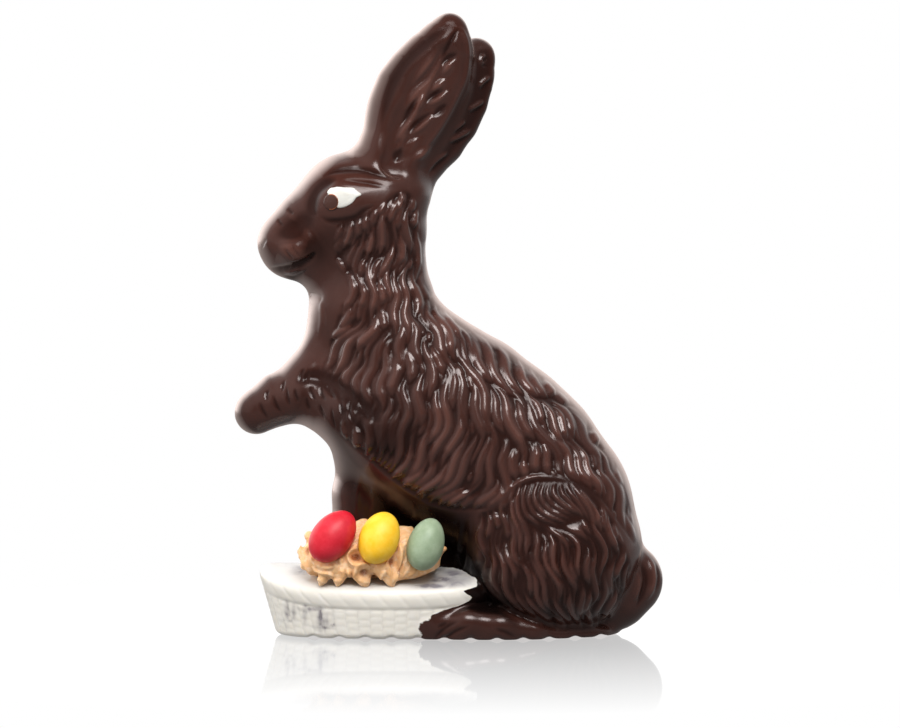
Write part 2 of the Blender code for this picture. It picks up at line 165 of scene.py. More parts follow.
def surface_nets(fn, lo, hi, h):
    """Quads over the zero surface of fn, one vertex for each grid cell it crosses."""
    lo = np.array(lo, float)
    n = np.ceil((np.array(hi) - lo) / h).astype(int) + 1
    gx, gy, gz = np.meshgrid(*[lo[i] + h * np.arange(n[i]) for i in range(3)], indexing="ij")
    v = fn(gx.ravel(), gy.ravel(), gz.ravel()).reshape(n)
    v = np.where(np.abs(v) < 1e-6, 1e-6, v)
    s = v < 0
    count = np.zeros(n - 1, int)
    for a in (0, 1):
        for b in (0, 1):
            for c in (0, 1):
                count += s[a:n[0] - 1 + a, b:n[1] - 1 + b, c:n[2] - 1 + c]
    active = (count > 0) & (count < 8)
    cells = np.argwhere(active)
    index = -np.ones(active.shape, int)
    index[active] = np.arange(len(cells))
    total, hits = np.zeros((len(cells), 3)), np.zeros(len(cells))
    corners = [np.array((a, b, c)) for a in (0, 1) for b in (0, 1) for c in (0, 1)]
    for i in range(8):
        for j in range(i + 1, 8):
            if np.abs(corners[i] - corners[j]).sum() != 1:
                continue
            pa, pb = cells + corners[i], cells + corners[j]
            va, vb = v[tuple(pa.T)], v[tuple(pb.T)]
            cross = (va < 0) != (vb < 0)
            t = np.where(cross, va / np.where(cross, va - vb, 1), 0)
            total[cross] += (pa + (pb - pa) * t[:, None])[cross]
            hits[cross] += 1
    V = lo + h * total / hits[:, None]
    faces = []
    for axis in range(3):
        o = [i for i in range(3) if i != axis]
        cr = np.argwhere(np.take(s, range(0, n[axis] - 1), axis) != np.take(s, range(1, n[axis]), axis))
        cr = cr[(cr[:, o[0]] > 0) & (cr[:, o[1]] > 0) & (cr[:, o[0]] < n[o[0]] - 1) & (cr[:, o[1]] < n[o[1]] - 1)]
        q = []
        for d0, d1 in ((-1, -1), (0, -1), (0, 0), (-1, 0)):
            k = cr.copy()
            k[:, o[0]] += d0
            k[:, o[1]] += d1
            q.append(index[tuple(k.T)])
        q = np.stack(q, 1)
        flip = s[tuple(cr.T)] if axis != 1 else ~s[tuple(cr.T)]
        q[~flip] = q[~flip][:, ::-1]
        faces.append(q)
    return V, np.concatenate(faces)


def split(V, F):
    """Every quad into four."""
    E = np.sort(np.concatenate([F[:, [0, 1]], F[:, [1, 2]], F[:, [2, 3]], F[:, [3, 0]]]), 1)
    key, inv = np.unique(E[:, 0].astype(np.int64) * (len(V) + 1) + E[:, 1], return_inverse=True)
    u = np.stack([key // (len(V) + 1), key % (len(V) + 1)], 1)
    mid, mean = (V[u[:, 0]] + V[u[:, 1]]) / 2, V[F].mean(1)
    nf = len(F)
    e = [len(V) + inv[i * nf:(i + 1) * nf] for i in range(4)]
    c = len(V) + len(u) + np.arange(nf)
    Q = np.concatenate([np.stack([F[:, 0], e[0], c, e[3]], 1), np.stack([e[0], F[:, 1], e[1], c], 1),
                        np.stack([c, e[1], F[:, 2], e[2]], 1), np.stack([e[3], c, e[2], F[:, 3]], 1)])
    return np.concatenate([V, mid, mean]), Q


def neighbour_mean(V, F):
    total, hits = np.zeros_like(V), np.zeros(len(V))
    for a, b in ((0, 1), (1, 2), (2, 3), (3, 0)):
        for s, t in ((a, b), (b, a)):
            for k in range(3):
                total[:, k] += np.bincount(F[:, s], V[F[:, t], k], len(V))
            hits += np.bincount(F[:, s], minlength=len(V))
    return total / hits[:, None]


def even_out(fn, V, F, rounds=1):
    for _ in range(rounds):
        move = neighbour_mean(V, F) - V
        g = gradient(fn, V)
        g /= np.linalg.norm(g, axis=1, keepdims=True) + 1e-9
        V = project(fn, V + 0.6 * (move - (move * g).sum(1, keepdims=True) * g), 1)
    return V


# ============================================ 3. relief, as maps over X and Z
CELL = 0.2                                   # mm
MAP_X, MAP_Z, MAP_W, MAP_H = -80.0, -3.0, 810, 1140
GX, GZ = np.meshgrid(MAP_X + CELL * np.arange(MAP_W), MAP_Z + CELL * np.arange(MAP_H))


def at(u, v):
    """Side-view units (0.355 mm, from the left and downwards) to mm."""
    return (np.asarray(u, float) - 450.5) * 0.355, (634.0 - np.asarray(v, float)) * 0.355


def blur(M, sigma):
    r = int(3 * sigma / CELL) + 1
    k = np.exp(-0.5 * (np.arange(-r, r + 1) * CELL / sigma) ** 2)
    k /= k.sum()
    for axis in (0, 1):
        size = M.shape[axis] + 2 * r
        n = 1 << (size - 1).bit_length()
        shape = [1, 1]
        shape[axis] = n
        kk = np.fft.rfft(k, n).reshape([-1 if i == axis else 1 for i in range(2)])
        M = np.take(np.fft.irfft(np.fft.rfft(M, n, axis=axis) * kk, n, axis=axis), range(r, r + M.shape[axis]), axis=axis)
    return M


def inside(points):
    """Mask of a polygon given in side-view units."""
    x, z = at(*np.array(points, float).T)
    m = np.zeros(GX.shape, bool)
    j = len(x) - 1
    for i in range(len(x)):
        if z[i] != z[j]:
            m ^= ((z[i] > GZ) != (z[j] > GZ)) & (GX < (x[j] - x[i]) * (GZ - z[i]) / (z[j] - z[i]) + x[i])
        j = i
    return m


def window(x0, x1, z0, z1):
    i0, i1 = max(0, int((z0 - MAP_Z) / CELL)), min(MAP_H, int((z1 - MAP_Z) / CELL) + 2)
    j0, j1 = max(0, int((x0 - MAP_X) / CELL)), min(MAP_W, int((x1 - MAP_X) / CELL) + 2)
    return slice(i0, i1), slice(j0, j1)


def along(points, reach):
    """Distance to a line of points, and the share of its length, in a window round it."""
    P = np.asarray(points, float)
    w = window(P[:, 0].min() - reach, P[:, 0].max() + reach, P[:, 1].min() - reach, P[:, 1].max() + reach)
    X, Z = GX[w], GZ[w]
    best, part = np.full(X.shape, 1e9), np.zeros(X.shape)
    lengths = np.hypot(*np.diff(P, axis=0).T)
    done, total = 0.0, max(lengths.sum(), 1e-9)
    for (x0, z0), (x1, z1), L in zip(P[:-1], P[1:], lengths):
        if L < 1e-6:
            continue
        t = np.clip(((X - x0) * (x1 - x0) + (Z - z0) * (z1 - z0)) / L ** 2, 0, 1)
        d = np.hypot(X - x0 - t * (x1 - x0), Z - z0 - t * (z1 - z0))
        near = d < best
        best = np.where(near, d, best)
        part = np.where(near, (done + t * L) / total, part)
        done += L
    return w, best, part


def curve(points, n=24):
    """A smooth line through side-view points, in mm."""
    x, z = at(*np.array(points, float).T)
    P = np.stack([x, z], 1)
    if len(P) < 3:
        t = np.linspace(0, 1, n)[:, None]
        return P[0] * (1 - t) + P[-1] * t
    Q = np.vstack([2 * P[0] - P[1], P, 2 * P[-1] - P[-2]])
    out = []
    for i in range(1, len(Q) - 2):
        for t in np.linspace(0, 1, max(3, n // (len(P) - 1)), endpoint=False):
            out.append(0.5 * (2 * Q[i] + (Q[i + 1] - Q[i - 1]) * t + (2 * Q[i - 1] - 5 * Q[i] + 4 * Q[i + 1] - Q[i + 2]) * t ** 2 + (3 * Q[i] - Q[i - 1] - 3 * Q[i + 1] + Q[i + 2]) * t ** 3))
    out.append(P[-1])
    return np.array(out)


def stroke(M, points, half, height, taper=0.35, soft=2.0):
    """Adds a ridge (or with a negative height a groove) with tapered ends."""
    line = curve(points)
    w, d, t = along(line, half * 1.6)
    ends = np.clip(np.minimum(t, 1 - t) / max(taper, 1e-6), 0, 1)
    ends = np.sin(ends * math.pi / 2)
    M[w] += height * ends * np.exp(-(d / (half * (0.35 + 0.65 * ends) * 0.62)) ** soft)


def swell(M, u, v, ru, rv, height, turn=0.0):
    """Adds a round swelling."""
    x, z = at(u, v)
    c, s = math.cos(math.radians(turn)), math.sin(math.radians(turn))
    a, b = (GX - x) * c + (GZ - z) * s, -(GX - x) * s + (GZ - z) * c
    M += height * np.exp(-((a / (ru * 0.355)) ** 2 + (b / (rv * 0.355)) ** 2))


def smooth_noise(scale, seed):
    g = np.random.default_rng(seed)
    n0, n1 = int(MAP_H * CELL / scale) + 3, int(MAP_W * CELL / scale) + 3
    grid = g.uniform(-1, 1, (n0, n1))
    a, b = (GZ - MAP_Z) / scale, (GX - MAP_X) / scale
    i, j = a.astype(int), b.astype(int)
    fa, fb = a - i, b - j
    fa, fb = fa * fa * (3 - 2 * fa), fb * fb * (3 - 2 * fb)
    return (grid[i, j] * (1 - fa) + grid[i + 1, j] * fa) * (1 - fb) + (grid[i, j + 1] * (1 - fa) + grid[i + 1, j + 1] * fa) * fb


class Coat:
    """Combed locks over one region: evenly spaced flow lines, each raised as a
    rounded ridge that thins out at both ends."""

    def __init__(self, region, guides, spacing, length, wave, wave_length, seed, edge=1.6):
        self.mask = region
        g = np.array(guides, float)
        self.gx, self.gz = at(g[:, 0], g[:, 1])
        d = np.stack([g[:, 2], -g[:, 3]], 1)
        self.gd = d / np.linalg.norm(d, axis=1, keepdims=True)
        self.spacing, self.length, self.wave, self.wave_length = spacing, length, wave, wave_length
        self.rng = np.random.default_rng(seed)
        self.phase = smooth_noise(26.0, seed + 1) * 2.4
        # direction on a coarse grid
        step = 5
        X, Z = GX[::step, ::step], GZ[::step, ::step]
        w0 = np.exp(-((X[..., None] - self.gx) ** 2 + (Z[..., None] - self.gz) ** 2) / (2 * 4.2 ** 2)) + 1e-12 / (1 + (X[..., None] - self.gx) ** 2 + (Z[..., None] - self.gz) ** 2)
        dx, dz = (w0 * self.gd[:, 0]).sum(-1), (w0 * self.gd[:, 1]).sum(-1)
        self.angle = np.arctan2(dz, dx)
        self.step = step

    def direction(self, x, z):
        i = min(max(int((z - MAP_Z) / CELL / self.step + 0.5), 0), self.angle.shape[0] - 1)
        j = min(max(int((x - MAP_X) / CELL / self.step + 0.5), 0), self.angle.shape[1] - 1)
        a = self.angle[i, j]
        ii, jj = min(max(int((z - MAP_Z) / CELL), 0), MAP_H - 1), min(max(int((x - MAP_X) / CELL), 0), MAP_W - 1)
        a += self.wave * math.sin(2 * math.pi * z / self.wave_length + self.phase[ii, jj] + 0.08 * x)
        return math.cos(a), math.sin(a)

    def ok(self, x, z, need, taken):
        i, j = int((z - MAP_Z) / CELL), int((x - MAP_X) / CELL)
        if not (0 <= i < MAP_H and 0 <= j < MAP_W) or not self.mask[i, j]:
            return False
        return taken[i, j] > need

    def grow(self, thin=1.0, short=1.0, least=6.5):
        taken = np.full(GX.shape, 1e9)
        ii, jj = np.nonzero(self.mask)
        order = self.rng.permutation(len(ii))[: len(ii) // 3]
        lines = []
        for o in order:
            x, z = MAP_X + CELL * jj[o], MAP_Z + CELL * ii[o]
            gap = self.spacing(x, z) * thin
            if taken[ii[o], jj[o]] < gap * 0.92:
                continue
            want = self.length(x, z) * short * self.rng.uniform(0.65, 1.3)
            pts = [(x, z)]
            for sign in (1, -1):
                px, pz = x, z
                run = 0.0
                while run < want / 2:
                    dx, dz = self.direction(px, pz)
                    px, pz = px + sign * dx * 0.6, pz + sign * dz * 0.6
                    if not self.ok(px, pz, gap * 0.46, taken):
                        break
                    run += 0.6
                    if sign > 0:
                        pts.append((px, pz))
                    else:
                        pts.insert(0, (px, pz))
            if len(pts) * 0.6 < least:
                continue
            line = np.array(pts)
            w, d, t = along(line[::2] if len(line) > 8 else line, gap * 2.2)
            taken[w] = np.minimum(taken[w], d)
            lines.append((line, gap))
        return lines

    def relief(self):
        """Thin locks under, broad ones over them."""
        H = np.zeros(GX.shape)
        for lines, tall in ((self.grow(0.55, 0.7, 3.5), 0.50), (self.grow(), 1.0)):
            for line, gap in lines:
                half = gap * self.rng.uniform(0.54, 0.68)
                height = tall * self.rng.uniform(0.80, 1.2)
                w, d, t = along(line[::2] if len(line) > 8 else line, half * 1.1)
                # long locks that come to a point at both ends
                body = np.minimum(np.clip(t / 0.34, 0, 1), np.clip((1 - t) / 0.24, 0, 1)) ** 0.8
                width = half * (0.10 + 0.90 * body)
                u = np.clip(1 - (d / width) ** 2, 0, None)
                H[w] = np.maximum(H[w], height * (0.30 + 0.70 * body) * u)
        return blur(H, 0.20)


# ---- the coat of the head, neck, body and flank
BODY_COAT = [(383, 206), (392, 196), (403, 190), (413, 193), (419, 205), (421, 230), (422, 262), (424, 284), (436, 303), (462, 322), (494, 341), (521, 360), (548, 380), (570, 400),
             (588, 420), (603, 440), (614, 460), (622, 480), (628, 500), (633, 521), (637, 548), (612, 512), (598, 494), (584, 486), (562, 473), (534, 471), (518, 477), (508, 488), (500, 503),
             (482, 506), (455, 507), (430, 501), (405, 486), (385, 470), (368, 455), (350, 441), (338, 428), (346, 412), (340, 398), (330, 380), (322, 368),
             (331, 352), (330, 338), (340, 322), (334, 333), (342, 305), (352, 295), (348, 280), (338, 264), (334, 245), (336, 228), (345, 222), (360, 219), (374, 210)]
BODY_GUIDES = [
    (345, 235, -.35, 1), (338, 250, -.05, 1), (343, 268, .35, 1), (352, 240, -.4, 1), (360, 225, -.5, .9), (370, 240, -.35, 1), (365, 262, .05, 1), (385, 220, -.25, 1),
    (385, 245, -.4, 1), (395, 265, -.3, 1), (400, 205, -.1, 1), (405, 225, .1, 1), (412, 245, -.1, 1), (415, 275, 0, 1), (390, 285, -.1, 1), (370, 285, .1, 1), (355, 285, .1, 1),
    (345, 303, -.5, .9), (338, 325, -.75, .7), (352, 330, -.75, .7), (365, 315, -.5, .9), (375, 330, -.5, .9), (375, 300, .3, 1), (390, 305, 0, 1), (405, 310, .1, 1),
    (420, 300, .15, 1), (430, 315, .4, .9), (395, 330, -.2, 1), (405, 345, .05, 1), (420, 335, .2, 1), (440, 335, .4, .9), (460, 345, .45, .9), (480, 360, .45, .9),
    (345, 350, -.6, .8), (360, 355, -.55, .85), (375, 350, -.45, .9), (340, 370, -.35, .95), (335, 385, 0, 1), (360, 375, -.3, 1), (375, 375, -.1, 1), (395, 370, 0, 1),
    (415, 370, 0, 1), (435, 365, .1, 1), (455, 370, .2, 1), (400, 395, 0, 1), (420, 400, 0, 1), (440, 400, 0, 1), (460, 400, .15, 1), (480, 395, .3, 1), (500, 390, .4, .9),
    (520, 395, .5, .85), (540, 410, .55, .85), (390, 420, -.1, 1), (410, 425, -.15, 1), (430, 425, -.25, 1), (450, 430, -.3, 1), (470, 430, -.1, 1), (490, 430, .1, 1),
    (510, 430, .25, 1), (530, 430, .4, .9), (555, 435, .5, .85), (575, 440, .5, .85), (390, 445, -.35, .9), (410, 455, -.45, .85), (430, 460, -.55, .8), (450, 465, -.6, .8),
    (470, 460, -.5, .85), (420, 475, -.6, .75), (440, 485, -.65, .7), (460, 490, -.65, .7), (375, 430, -.25, .95), (360, 420, -.1, 1), (500, 455, -.05, 1), (520, 460, .1, 1),
    (545, 460, .25, 1), (565, 465, .35, .95), (585, 465, .4, .9), (600, 490, .3, .95), (612, 515, .2, 1), (622, 540, .1, 1)]
THIGH_COAT = [(478, 508), (498, 503), (508, 488), (518, 479), (534, 474), (562, 476), (584, 489), (598, 498), (612, 516), (624, 545), (630, 562), (627, 585), (620, 602),
              (610, 621), (590, 627), (560, 627), (540, 623), (520, 613), (498, 602), (482, 592), (476, 560), (475, 530)]
THIGH_GUIDES = [
    (487, 520, 0, 1), (490, 560, .1, 1), (500, 590, .5, .85), (505, 505, .1, 1), (515, 490, -.45, .9), (512, 525, .15, 1), (530, 480, -.6, .8), (530, 500, -.35, .95),
    (530, 525, .35, .95), (541, 485, -.5, .85), (537, 503, .1, 1), (546, 513, .6, .8), (556, 484, -.2, 1), (556, 500, .45, .9), (564, 517, .75, .65), (575, 490, .4, .9),
    (580, 510, .5, .85), (590, 500, .4, .9), (595, 525, .4, .9), (605, 535, .1, 1), (515, 555, .15, 1), (535, 555, .1, 1), (555, 555, .25, 1), (575, 550, .25, 1),
    (592, 555, .05, 1), (610, 560, -.15, 1), (622, 570, -.2, 1), (520, 580, .3, .95), (540, 580, .35, .93), (560, 580, .35, .93), (580, 580, .1, 1), (600, 585, -.15, 1),
    (615, 595, -.3, .95), (530, 605, .5, .85), (550, 605, .45, .9), (570, 605, .3, .95), (590, 605, -.1, 1), (605, 612, -.3, .95), (550, 622, .6, .8), (570, 622, .4, .9)]


# locks that turn over the top of the thigh
SWIRL = [[(515, 478), (511, 493), (512.5, 510), (517.5, 523)], [(522.5, 477), (518.5, 493), (520, 510), (529, 521)], [(530, 477), (526, 494), (533, 510), (556, 521)],
         [(538, 476), (534, 492), (543, 507), (568, 518)], [(546, 477), (543, 491), (551, 503), (571, 512)], [(553, 477), (551, 488), (559, 498), (577, 509)],
         [(560, 478), (563, 489), (573, 500), (585, 514)], [(568, 477), (575, 489), (585, 503), (592, 520)], [(577, 482), (586, 495), (595, 510), (600, 528)]]


def ramp(v, lo, hi):
    t = np.clip((v - lo) / (hi - lo), 0, 1)
    return t * t * (3 - 2 * t)


def body_spacing(x, z):
    return float(np.interp(z, [55, 100, 118, 130, 160], [3.2, 3.5, 3.2, 2.7, 2.4])) * (1.0 + 0.10 * math.sin(x * 0.21 + z * 0.13))


def body_length(x, z):
    return float(np.interp(z, [55, 115, 130, 160], [27, 25, 15, 12]))


def coats():
    body = Coat(inside(BODY_COAT), BODY_GUIDES, body_spacing, body_length, 0.34, 15.0, 3)
    thigh = Coat(inside(THIGH_COAT), THIGH_GUIDES, lambda x, z: 2.35, lambda x, z: 27.0, 0.34, 16.0, 8)
    D = np.zeros(GX.shape)
    for coat, amount, mean, fade in ((body, 1.5, 0.50, 1.3), (thigh, 1.7, 0.68, 1.5)):
        edge = np.clip(blur(coat.mask.astype(float), fade) * 2.2 - 0.95, 0, 1)
        D += amount * (coat.relief() - mean) * edge
    # raised upper edge of the thigh, and the swirl of locks below it
    stroke(D, [(499, 512), (502, 496), (511, 483), (524, 475.5), (540, 471.5)], 1.5, 0.8, 0.25)
    x0, z0 = at(553, 498)
    swirl = ramp(1.25 - np.sqrt(((GX - x0) / (44 * 0.355)) ** 2 + ((GZ - z0) / (25 * 0.355)) ** 2), 0, 0.45)
    D = D * (1 - 0.9 * swirl) - 0.65 * swirl
    arcs = np.array(SWIRL, float)
    for k, t in enumerate(np.linspace(0, len(arcs) - 1, 12)):
        i = min(int(t), len(arcs) - 2)
        a = arcs[i] * (1 - t + i) + arcs[i + 1] * (t - i)
        stroke(D, [tuple(p) for p in a], 1.15, 1.2 + 0.25 * ((k * 2) % 3 - 1), 0.35)
    # the coat runs out softly in the fold over the arm
    w, d, t = along(curve([(296, 384), (318, 376), (340, 388), (364, 408), (386, 426)], 30), 9.0)
    D[w] *= 1 - 0.85 * np.exp(-(d / 4.2) ** 2)
    return D


# ---- face, ears, arm
def face(M):
    swell(M, 345, 197, 24, 14, 0.9)                                     # eyeball and lids
    stroke(M, [(340, 180), (329, 184), (320, 191), (315, 200), (314, 209), (318, 217)], 3.4, -1.0, 0.3)
    stroke(M, [(324, 178), (334, 173), (346, 170.5), (361, 170.5), (376, 174), (394, 181)], 1.9, -0.8)
    stroke(M, [(343, 181.5), (358, 183), (373, 185), (388, 188.5)], 1.2, -0.4)
    stroke(M, [(322, 217), (331, 221), (343, 221.5), (358, 218), (366, 211), (378, 205)], 1.8, -0.9)
    swell(M, 293, 250, 17, 9, 1.3, -28)                                  # muzzle pad
    swell(M, 296, 229, 19, 9, -1.2, 38)                                  # hollow beside the nose
    stroke(M, [(285, 212), (295, 219), (305, 228), (312, 240), (315, 250)], 1.8, 0.3, 0.3)
    stroke(M, [(318, 252), (308, 260), (296, 266), (282, 269.5), (271, 268)], 1.8, -1.7, 0.2)
    stroke(M, [(303, 258.6), (310, 254), (315.7, 251.4)], 0.9, 0.5)
    stroke(M, [(281, 271.5), (291, 271.5), (302, 268)], 0.7, 0.7)
    stroke(M, [(283, 275), (295, 277), (309, 270)], 1.0, -0.7)
    stroke(M, [(263, 249), (265, 243), (268.5, 239)], 0.9, -0.45)
    stroke(M, [(289, 209), (295, 214.5)], 0.7, -0.55)
    stroke(M, [(278.5, 219.5), (284.5, 226)], 0.7, -0.55)
    stroke(M, [(288, 248), (291, 253), (296, 258.5)], 0.7, -0.6)
    stroke(M, [(294.5, 245), (297.5, 250), (302.5, 256.5)], 0.7, -0.6)
    stroke(M, [(309, 292), (315, 293), (322, 297), (321, 305)], 0.8, -0.4)
    stroke(M, [(322, 296), (323, 318), (320, 338)], 1.2, 0.4)


ARM_MARKS = [[(270.5, 390), (268, 394), (269.5, 399)], [(276, 396), (277.5, 403), (282, 410)], [(262.5, 403), (264.5, 410), (269, 416)], [(288.5, 388.5), (289, 396), (291.5, 403)],
             [(297, 388.5), (297.5, 394), (300, 399.5)], [(286, 381), (284, 385), (284.5, 389.5)], [(308.5, 397), (309, 402), (311.5, 408)], [(313, 386), (313.5, 392), (317, 397)],
             [(323, 387), (323.5, 393), (327, 397)], [(329, 384), (331, 390), (336, 395)], [(343, 401), (343, 406), (344.5, 412)], [(351.5, 400), (351.5, 409), (356, 419)],
             [(334, 408), (334, 416), (337, 424)], [(322, 404), (323, 410), (326, 416)], [(360, 396), (363, 405), (369, 414)]]


def arm(M):
    for points in ARM_MARKS:
        (ua, va), (ub, vb) = points[0], points[-1]
        stroke(M, [(ua - 0.2 * (ub - ua), va - 0.2 * (vb - va)), points[1], (ub + 0.2 * (ub - ua), vb + 0.2 * (vb - va))], 0.85, -0.62, 0.4)
    for points in ([(301, 380), (303, 372), (307, 367)], [(306, 381), (309, 373), (311, 368)]):
        stroke(M, points, 0.9, -0.5)
    stroke(M, [(296, 383), (312, 376), (328, 379), (346, 390), (364, 404), (384, 420)], 4.2, -1.3, 0.3)


EAR_RIDGES = [[(451, 42), (444, 56), (438.6, 68), (429, 86), (420, 105), (407, 134), (393, 165)], [(439, 50), (432, 61), (422, 74), (413, 87)], [(430, 80), (418, 94), (405.7, 112)],
              [(424, 94), (420, 104), (417, 113)], [(411, 119), (404, 132), (396, 144)], [(450, 92), (438, 101), (427, 108)], [(447, 80), (438, 88), (430, 95)],
              [(436, 116), (424, 126), (410, 138)], [(420, 138), (408, 150), (399, 160)], [(432, 146), (424, 154), (414, 162)], [(455, 60), (449, 68), (443, 78)]]
EAR_GROOVES = [[(458.6, 55), (449, 60), (440, 67)], [(445.7, 90.7), (436, 96), (425.7, 103.6)], [(433, 112), (424, 120), (414, 128), (403, 138)], [(416, 142), (406, 152), (394, 164)],
               [(426, 92), (414, 108), (402, 128)], [(403, 148), (398, 155), (393, 162)], [(448, 104), (440, 112), (432, 118)]]


def left_ear(M):
    stroke(M, [(456, 27), (464, 34), (468.5, 51), (466.5, 76), (456, 101), (441, 128), (425, 150)], 1.2, 0.45, 0.10)
    stroke(M, [(470, 30), (474, 51), (472, 78), (461, 104), (445, 132), (428, 156)], 1.2, -0.3, 0.15)
    stroke(M, [(452, 26), (430, 42), (408, 62), (394, 84), (387, 106), (383, 128)], 3.2, -0.7, 0.3)
    for points in EAR_RIDGES:
        stroke(M, points, 2.1, 1.0, 0.5)
    for points in EAR_GROOVES:
        stroke(M, points, 1.8, -0.9, 0.5)
    # dark slit from the point of the recess down along its middle
    stroke(M, [(459, 30), (454, 38), (448, 49), (440, 63)], 1.1, -0.9, 0.35)


FAR_STRIP = [(479, 52), (489, 50), (492.5, 60), (491, 85), (483, 110), (470, 133), (452, 155), (436, 172), (430, 172), (441, 152), (455, 128), (468, 100), (475, 75)]
STRIP_MARKS = [[(491, 76), (484, 82), (479, 88)], [(485, 100), (477, 106), (468, 111)], [(466, 121), (459, 127), (452, 131)], [(472, 129), (460, 137), (448, 142)], [(449, 152), (434, 163), (422, 176)], [(487, 55), (483, 57), (482, 62), (487, 64)]]


def right_ear_strip(M):
    m = np.clip(blur(inside(FAR_STRIP).astype(float), 0.6), 0, 1)
    M -= 0.45 * m
    for points in STRIP_MARKS:
        stroke(M, points, 1.3, 0.9, 0.3)
        stroke(M, [(u + 2.5, v + 3) for u, v in points], 1.0, -0.45, 0.3)


def mirrored_ear(M):
    """The right ear, seen from its own side: the same recess, moved onto it."""
    a0, a1 = np.array(at(455, 28)), np.array(at(396, 166))
    b0, b1 = np.array(at(478, 46)), np.array(at(410, 186))
    flat = np.zeros(GX.shape)
    left_ear(flat)
    # similarity that takes the right ear's axis back to the left ear's
    da, db = complex(*(a1 - a0)), complex(*(b1 - b0))
    q = da / db
    P = (GX + 1j * GZ - complex(*b0)) * q + complex(*a0)
    i = np.clip(((P.imag - MAP_Z) / CELL).astype(int), 0, MAP_H - 1)
    j = np.clip(((P.real - MAP_X) / CELL).astype(int), 0, MAP_W - 1)
    M += flat[i, j]


def foot_and_tail(M):
    for points in ([(434, 634), (446, 622), (458, 615)], [(442, 637), (455, 626), (470, 619)], [(438, 622), (448, 616)], [(516, 632), (505, 626), (494, 622)]):
        stroke(M, points, 1.0, -0.5)
    stroke(M, [(646, 553), (652, 566), (653, 582), (646, 600)], 1.8, 0.9)
    stroke(M, [(640, 560), (645, 575), (643, 590), (636, 606)], 1.5, -0.9)
    stroke(M, [(636, 570), (638, 584), (633, 600)], 1.4, 0.7)
    stroke(M, [(655, 562), (658, 578), (654, 592)], 1.2, -0.5)


def recess_folds(M):
    """Shallow folds in the hollow between the foreleg and the thigh."""
    for k, (u, v, w2, v2) in enumerate([(470, 512, 462, 590), (478, 520, 474, 598), (461, 515, 452, 570), (362, 470, 358, 515), (374, 482, 372, 516), (392, 490, 392, 515), (415, 500, 412, 520), (438, 512, 432, 545)]):
        stroke(M, [(u, v), ((u + w2) / 2 + (-1) ** k * 2, (v + v2) / 2), (w2, v2)], 1.9, 0.5, 0.4)


fur = coats()
near_map, far_map = fur.copy(), fur.copy()
for M in (near_map, far_map):
    face(M)
    arm(M)
    foot_and_tail(M)
    recess_folds(M)
ear_near, ear_far, strip = np.zeros(GX.shape), np.zeros(GX.shape), np.zeros(GX.shape)
left_ear(ear_near)
mirrored_ear(ear_far)
right_ear_strip(strip)


def sample(M, x, z):
    a, b = (z - MAP_Z) / CELL, (x - MAP_X) / CELL
    i, j = np.clip(a.astype(int), 0, MAP_H - 2), np.clip(b.astype(int), 0, MAP_W - 2)
    fa, fb = np.clip(a - i, 0, 1), np.clip(b - j, 0, 1)
    return (M[i, j] * (1 - fa) + M[i + 1, j] * fa) * (1 - fb) + (M[i, j + 1] * (1 - fa) + M[i + 1, j + 1] * fa) * fb


# ---- build the moulded mesh
V, F = surface_nets(figure, (-80, -40, -2.5), (82, 40, 225), STEP)
V = even_out(figure, project(figure, V, 3), F, 2)
V, F = split(V, F)
V = even_out(figure, project(figure, V, 1), F, 1)
V, F = split(V, F)
V = project(figure, V, 1)
N = gradient(figure, V)
N /= np.linalg.norm(N, axis=1, keepdims=True) + 1e-9

x, y, z = V.T
f_rabbit, f_tub = rabbit(x, y, z), tub(x, y, z)
on_tub = ramp(f_rabbit - f_tub, 0.0, 1.2)
side = ramp(np.abs(N[:, 1]), 0.10, 0.38)
D = np.where(N[:, 1] < 0, sample(near_map, x, z), sample(far_map, x, z)) * side
ears = ramp(z, 160, 166)
left_own = ramp(-y, 2.0, 5.0) * (N[:, 1] < 0)
right_own = ramp(y, 2.0, 5.0) * (N[:, 1] > 0)
side_e = ramp(np.abs(N[:, 1]), 0.3, 0.8)
D += sample(ear_near, x, z) * left_own * side_e
D += sample(strip, x, z) * (N[:, 1] < 0) * (1 - ramp(-y, 2.0, 5.0)) * side_e * (z > 150)
D += sample(ear_far, x, z) * right_own * side_e
D *= (1 - on_tub) * (1 - 0.7 * ramp(10 - z, 0, 6) * ramp(x, 18, 30))      # the locks run out on the plinth

# rope and weave of the basket
ang = np.arctan2(y / 30.0, (x - TUB["x"]) / 46.0)
ring = np.linspace(-math.pi, math.pi, 721)
ex = 46.0 * np.sign(np.cos(ring)) * np.abs(np.cos(ring)) ** (2 / TUB["n"])
ey = 30.0 * np.sign(np.sin(ring)) * np.abs(np.sin(ring)) ** (2 / TUB["n"])
true_ang = np.arctan2(ey / 30.0, ex / 46.0)
arc = np.concatenate([[0], np.cumsum(np.hypot(np.diff(ex), np.diff(ey)))])
order = np.argsort(true_ang)
s_arc = np.interp(ang, true_ang[order], arc[order])
s_arc = np.where(y < 0, s_arc, arc[-1] - s_arc)
rim_z = tub_top(y) - 0.6
below = rim_z - z                                   # mm under the rim
wall = ramp(0.75 - N[:, 2], 0.0, 0.35)
v_rope = below / ROPE_WIDTH
in_rope = (v_rope > 0) & (v_rope < 1)
phase = s_arc / ROPE_PITCH - 0.85 * np.clip(v_rope, 0, 1) ** 1.1
gap = np.abs((phase % 1.0) - 0.5) * ROPE_PITCH      # distance from a crease
crease = np.exp(-((ROPE_PITCH / 2 - gap) / 0.8) ** 2) * (0.25 + 0.75 * ramp(np.abs(y), 8, 20))
rope = 0.42 * np.sin(math.pi * np.clip(v_rope, 0, 1)) ** 0.7 * (1 - 0.42 * crease)
row = (below - ROPE_WIDTH) / 2.7
column = s_arc / 4.7
shifted = row + 0.5 * (np.floor(column) % 2)
